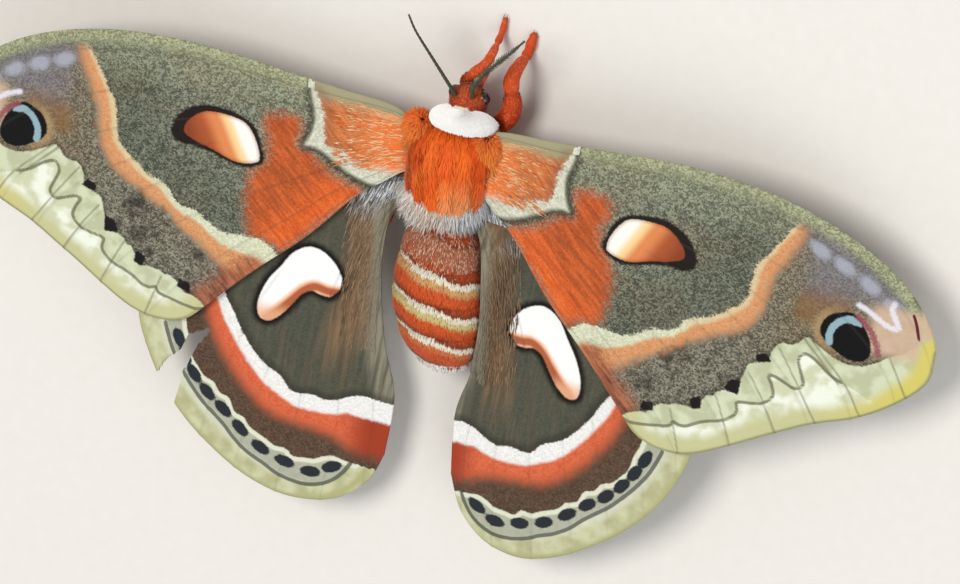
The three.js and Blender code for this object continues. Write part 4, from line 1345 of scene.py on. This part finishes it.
def shoulder_coat():
    """The shoulders, between the ruff and the roots of the wings."""
    for name, side, middle in (("left", -1, SHOULDERS[0]), ("right", 1, SHOULDERS[1])):
        way = unit(rng.normal(0, 1, (COUNTS["shoulder"], 3)))
        way = way[way[:, 2] > -0.35]
        rows = len(way)
        root = np.array(middle) + way * (SHOULDER_RADIUS - 0.15)
        down = unit(np.array([side * 0.3, -1.0, 0.0]))
        facing = (way @ down)[:, None]
        lie = unit(down - way * facing * 0.8 + way * (0.15 + 0.75 * np.clip(-facing, 0, 1)))
        tip = blend(rng.normal(0.4, 0.25, rows) - 0.4 * facing[:, 0], linear("#ee9440"), ORANGE)
        soft = unit(way * 0.55 + [0, 0, 0.8])
        length = rng.normal(2.7, 0.3, rows) * (0.8 + 0.4 * facing[:, 0])
        # Roots painted darker than the tips: painted shade under the hair
        tufts(f"coat_shoulder_{name}", "thorax", root, soft, lie, body_patch(root[:, 1], root[:, 0] / 12),
              length, width=0.17, lift=0.1, droop=0.02, at_root=tip * 0.8, at_tip=tip, sway=0.12)


def collar_coat():
    y, angle, root, normal, back = spread("collar", egg_point, RUFF, 0.3, (9.95, 11.68), COLLAR_TURN)
    outward = np.stack([np.sin(angle), 0 * y, np.cos(angle)], -1)
    backward = np.clip((11.6 - y) / 0.6, 0.1, 1)[:, None]
    lie = unit(outward * 0.4 + back * backward)
    length = rng.normal(0.8, 0.07, len(y))
    soft = unit(normal * 0.3 + [-0.2, 0.3, 0.9])
    # Roots painted a little greyer than the white tips: painted shade under the hair
    tufts("coat_collar", "collar", root, soft, lie, body_patch(y, angle), length, width=0.2, lift=0.34,
          droop=0.16, at_root=WHITE * 0.94, at_tip=WHITE, sunk=0.15, thickness=0.12, sway=0.07, vary=0.02)


def eye_middle(side):
    return np.array([HEAD["x"] + side * EYE_APART, EYE_Y, EYE_Z])


def head_coat():
    places = spread("head", egg_point, HEAD, 0.35, (10.4, 14.1))
    gaps = [np.linalg.norm(places[2] - eye_middle(side), axis=1) for side in (-1, 1)]
    clear = np.min(gaps, axis=0) > EYE_CLEAR
    y, angle, root, normal, back = (place[clear] for place in places)
    tone = rng.random(len(y))
    tufts("coat_head", "head", root, normal, unit(normal * 0.35 - back), body_patch(y, angle),
          length=rng.normal(0.7, 0.1, len(y)), width=0.14, lift=0.35, droop=0.2, at_root=DEEP,
          at_tip=blend(tone, DEEP, LEG_BRIGHT), sunk=0.12, short=True)


def abdomen_coat():
    for k in range(LAYERS):
        y, angle, root, normal, back = spread("abdomen", abdomen_point, ABDOMEN, 0.5, (-27.35, -4.3))
        rows = len(y)
        wobble = 0.14 * np.sin(angle * 7) + 0.07 * np.sin(angle * 19 + 1) + rng.normal(0, 0.05, rows)
        tip = abdomen_colour(y, ABDOMEN["wide"] * np.sin(angle), wobble)
        belly = np.clip((np.abs(angle) - 2.0) / 0.5, 0, 1)
        tip = blend(belly * 0.5, tip, CREAM * 0.8)
        pale = (y > BAND_FIRST) & (rng.random(rows) < 0.22)
        tip = np.where(pale[:, None], PINK_GREY, tip)
        shadow = np.where((tip.min(1) > 0.5)[:, None], 0.85, 0.72)
        tufts(f"coat_abdomen_{k + 1}", "abdomen", root, normal, back, body_patch(y, angle),
              length=rng.normal(0.7, 0.08, rows), width=0.17, lift=rng.normal(0.22, 0.03, rows),
              droop=rng.normal(0.1, 0.03, rows), at_root=tip * shadow, at_tip=tip,
              sunk=0.12, short=True, sway=0.1)


def tail_coat():
    """A fringe at the tip of the abdomen."""
    y, angle, root, normal, back = spread("tail", abdomen_point, ABDOMEN, 0.5, (-27.3, -25.6))
    # Roots of darkened cream under white tips: painted shade under the hair
    tufts("coat_tail", "abdomen", root, normal, unit(back + [0, -0.6, 0]), body_patch(y, angle),
          length=rng.normal(0.8, 0.15, len(y)), width=0.15, lift=0.2, droop=0.1, at_root=CREAM * 0.8,
          at_tip=WHITE, sway=0.2)


def leg_coat():
    roots, normals, lies, patches, lengths = [], [], [], [], []
    for name, path in LEGS.items():
        line = spline_points(path, LEG_STEPS)
        along = unit(np.gradient(line, axis=0))
        t = rng.uniform(0.03, 0.995, COUNTS["leg"])
        index = (t * (LEG_STEPS - 1)).astype(int)
        turn = rng.uniform(0, 2 * np.pi, COUNTS["leg"])
        across = unit(np.cross(along[index], [0, 0, 1.0]) + 1e-9)
        over = np.cross(across, along[index])
        normal = across * np.cos(turn)[:, None] + over * np.sin(turn)[:, None]
        root = line[index] + normal * (leg_radius(name, t) - 0.2)[:, None]
        keep = root[:, 2] > 0.3
        roots.append(root[keep])
        normals.append(normal[keep])
        lies.append(along[index][keep])
        lengths.append(np.interp(t, [0, 0.45, 0.75, 1], [0.8, 0.7, 0.5, 0.35])[keep])
        patches.append(np.c_[turn / (2 * np.pi), t][keep])
    root = np.vstack(roots)
    tip = blend(rng.random(len(root)), LEG_RED, LEG_BRIGHT)
    tufts("coat_legs", "legs", root, np.vstack(normals), np.vstack(lies), np.vstack(patches),
          np.concatenate(lengths), width=0.16, lift=0.2, droop=0.08, at_root=LEG_RED, at_tip=tip,
          sunk=0.12, short=True, sway=0.12)


def forewing_root_coat(name, side):
    """Hair that runs out from the body over the root of a forewing."""
    x = 4.4 + rng.gamma(1.4, 2.1, COUNTS["forewing_root"])
    y = rng.uniform(-0.6, 9.6, COUNTS["forewing_root"])
    keep = (x < 15) & (y < 7.4 + 0.16 * x) & (y > 1.4 - 0.1 * x)
    x, y = x[keep], y[keep]
    rows = len(x)
    root = np.c_[side * x, y, wing_height(x, y, 0) + MEMBRANE / 2]
    normal = unit(np.tile([-side * WING_LIFT, 0, 1.0], (rows, 1)))
    fan = -0.1 - 0.05 * (5 - y) + rng.normal(0, 0.1, rows)
    lie = unit(np.c_[side * np.ones(rows), fan, np.full(rows, WING_LIFT)])
    far = np.clip((x - 5) / 7, 0, 1)
    tip = blend(rng.random(rows) * 0.9 + far * 0.5, BRIGHT, linear("#c97a48"))
    tip = np.where((rng.random(rows) < 0.16)[:, None], linear("#dcc092"), tip)
    front = np.clip((y - 6.6 - 0.12 * x) / 1.2, 0, 1)
    tip = blend(front * 0.7, tip, linear("#c0ae7e"))
    rear = np.clip((1.6 - y) / 1.2, 0, 1) * np.clip((9 - x) / 3, 0, 1)
    tip = blend(rear, tip, CREAM)
    length = rng.normal(2.4, 0.35, rows) * (1 - 0.5 * far)
    # Roots painted darker than the tips: painted shade under the hair
    tufts(f"coat_forewing_root_{name}", "forewings", root, normal, lie, np.c_[x / 80, (y + 30) / 50],
          length, width=0.15, lift=0.09 * (1 - 0.6 * far) + 0.02, droop=0.03, at_root=tip * 0.82,
          at_tip=tip, sunk=0.1, thickness=0.12, sway=0.07)


def hindwing_root_coat(name, side):
    """Grey and white hair, from the root of a hindwing along its inner edge."""
    t = rng.random(COUNTS["hindwing_root"]) ** 1.5
    y = -0.5 - 26 * t
    edge = 4.3 + 3.2 * np.clip(t * 8, 0, 1) + inner_shift(y, side)
    x = edge + rng.gamma(1.6, 1.1, len(t))
    keep = x < edge + 5.2
    x, y, t, edge = x[keep], y[keep], t[keep], edge[keep]
    rows = len(x)
    z = wing_height(x, y, LAYER_DROP) + MEMBRANE / 2 + (flank_rise(x, y) if side > 0 else 0)
    lean = 0.32 * (1 - t) + 0.02 + rng.normal(0, 0.06, rows)
    lie = unit(np.c_[side * lean, -np.ones(rows), WING_LIFT * lean])
    pick = rng.random(rows)
    cool = blend(pick * 1.2 - 0.1, DUSK, BLUE_GREY)
    cool = np.where((pick > 0.72)[:, None], linear("#d5d6d2"), cool)
    tip = blend(t * 5.5 - 0.4, cool, blend(pick, linear("#5f4c38"), linear("#94775a")))
    inner = np.clip((edge + 1.5 - x) / 1.2, 0, 1) * np.clip(t * 6, 0, 1)
    tip = blend(inner * 0.8, tip, linear("#85816f"))
    normal = unit(np.tile([-side * WING_LIFT, 0, 1.0], (rows, 1)))
    length = rng.normal(2.9, 0.4, rows) * (1 - 0.45 * np.clip(t * 2, 0, 1))
    root = np.c_[side * x, y, z]
    # Roots painted darker than the tips: painted shade under the hair
    tufts(f"coat_hindwing_root_{name}", "hindwings", root, normal, lie, np.c_[x / 50, (y + 55) / 60],
          length, width=0.13, lift=0.07, droop=0.025, at_root=tip * 0.8, at_tip=tip,
          sunk=0.1, thickness=0.12, sway=0.06)


# Feelers, eyes and claws
COMBS = 58
FEELER_STEPS = 90


def antennae():
    p = Paint("feeler horn", 0.55, 0.35)
    p.bump(p.noise(0.1, 2), 0.02)
    horn = p.finish(p.mix(p.noise(0.3, 3), "#262b20", "#565741"))
    s = np.linspace(0, 1, 6)[:, None]
    for name, path in ANTENNAE.items():
        line = spline_points(path, FEELER_STEPS)
        t = np.linspace(0, 1, FEELER_STEPS)
        parts = [tube(line, 0.28 * (1 - 0.5 * t) * (1 + 0.12 * np.cos(t * 150)), 10)]
        along = unit(np.gradient(line, axis=0))
        for i in range(COMBS):
            share = 0.06 + 0.91 * i / (COMBS - 1)
            k = int(share * (FEELER_STEPS - 1))
            longest = 1.45 * (0.3 + 0.7 * np.sin(np.pi * min(share + 0.08, 1)) ** 0.7)
            for way in (-1, 1):
                outward = unit(COMB_LEAN[name] * way + along[k] * (0.3 + 0.2 * (i % 2)))
                reach = longest * (1 + 0.08 * rng.normal())
                branch = line[k] + outward * reach * s + along[k] * 0.22 * reach * s**2
                parts.append(tube(branch, 0.085 * (1 - 0.6 * s[:, 0]), 5))
        points, faces = join_parts(parts)
        dress(new_mesh(f"feeler_{name}", to_row(points), faces), horn, "antennae", f"antenna_{name}")


def eyes():
    p = Paint("eye", 0.16, 0.5)
    p.bump(p.facets(0.09), 0.02, 0.35)
    p.set_shader({"Coat Weight": 0.5})
    glass = p.finish(p.mix(p.noise(0.6, 2), "#120d0b", "#2c1b14"))
    for name, side in (("left", -1), ("right", 1)):
        points, faces = ball(eye_middle(side), EYE_BALL, rings=40, sides=56, cut=0.02)
        dress(new_mesh(f"eye_ball_{name}", to_row(points), faces), glass, "eyes", f"eye_{name}")


def claws():
    """Two claws at the end of each foot."""
    p = Paint("claw horn", 0.35, 0.45)
    horn = p.finish(p.mix(p.noise(0.15, 2), "#1b1210", "#4a2c1e"))
    s = np.linspace(0, 1, 9)[:, None]
    parts = []
    for path in LEGS.values():
        end = np.array(path[-1])
        way = unit((end - np.array(path[-2])) * [1, 1, 0])
        side = np.cross(way, [0, 0, 1.0])
        for hand in (-1, 1):
            line = end + [0, 0, 0.05] + way * (0.9 * s - 0.1) + side * hand * (0.16 + 0.3 * s * (1 - s))
            line[:, 2] += 0.16 * np.sin(np.pi * s[:, 0]) - 0.26 * s[:, 0]
            line[:, 2] = np.maximum(line[:, 2], 0.09)
            parts.append(tube(line, 0.1 * (1 - 0.85 * s[:, 0]), 8))
    points, faces = join_parts(parts)
    points[:, 2] = np.maximum(points[:, 2], 0.0)
    dress(new_mesh("claws", to_row(points), faces), horn, "legs")


def body():
    skin()
    back_coat()
    breast_coat()
    rear_coat()
    shoulder_coat()
    collar_coat()
    head_coat()
    abdomen_coat()
    tail_coat()
    leg_coat()
    for name, side in (("left", -1), ("right", 1)):
        forewing_root_coat(name, side)
        hindwing_root_coat(name, side)
    antennae()
    eyes()
    claws()


camera()
studio()
wings()
body()
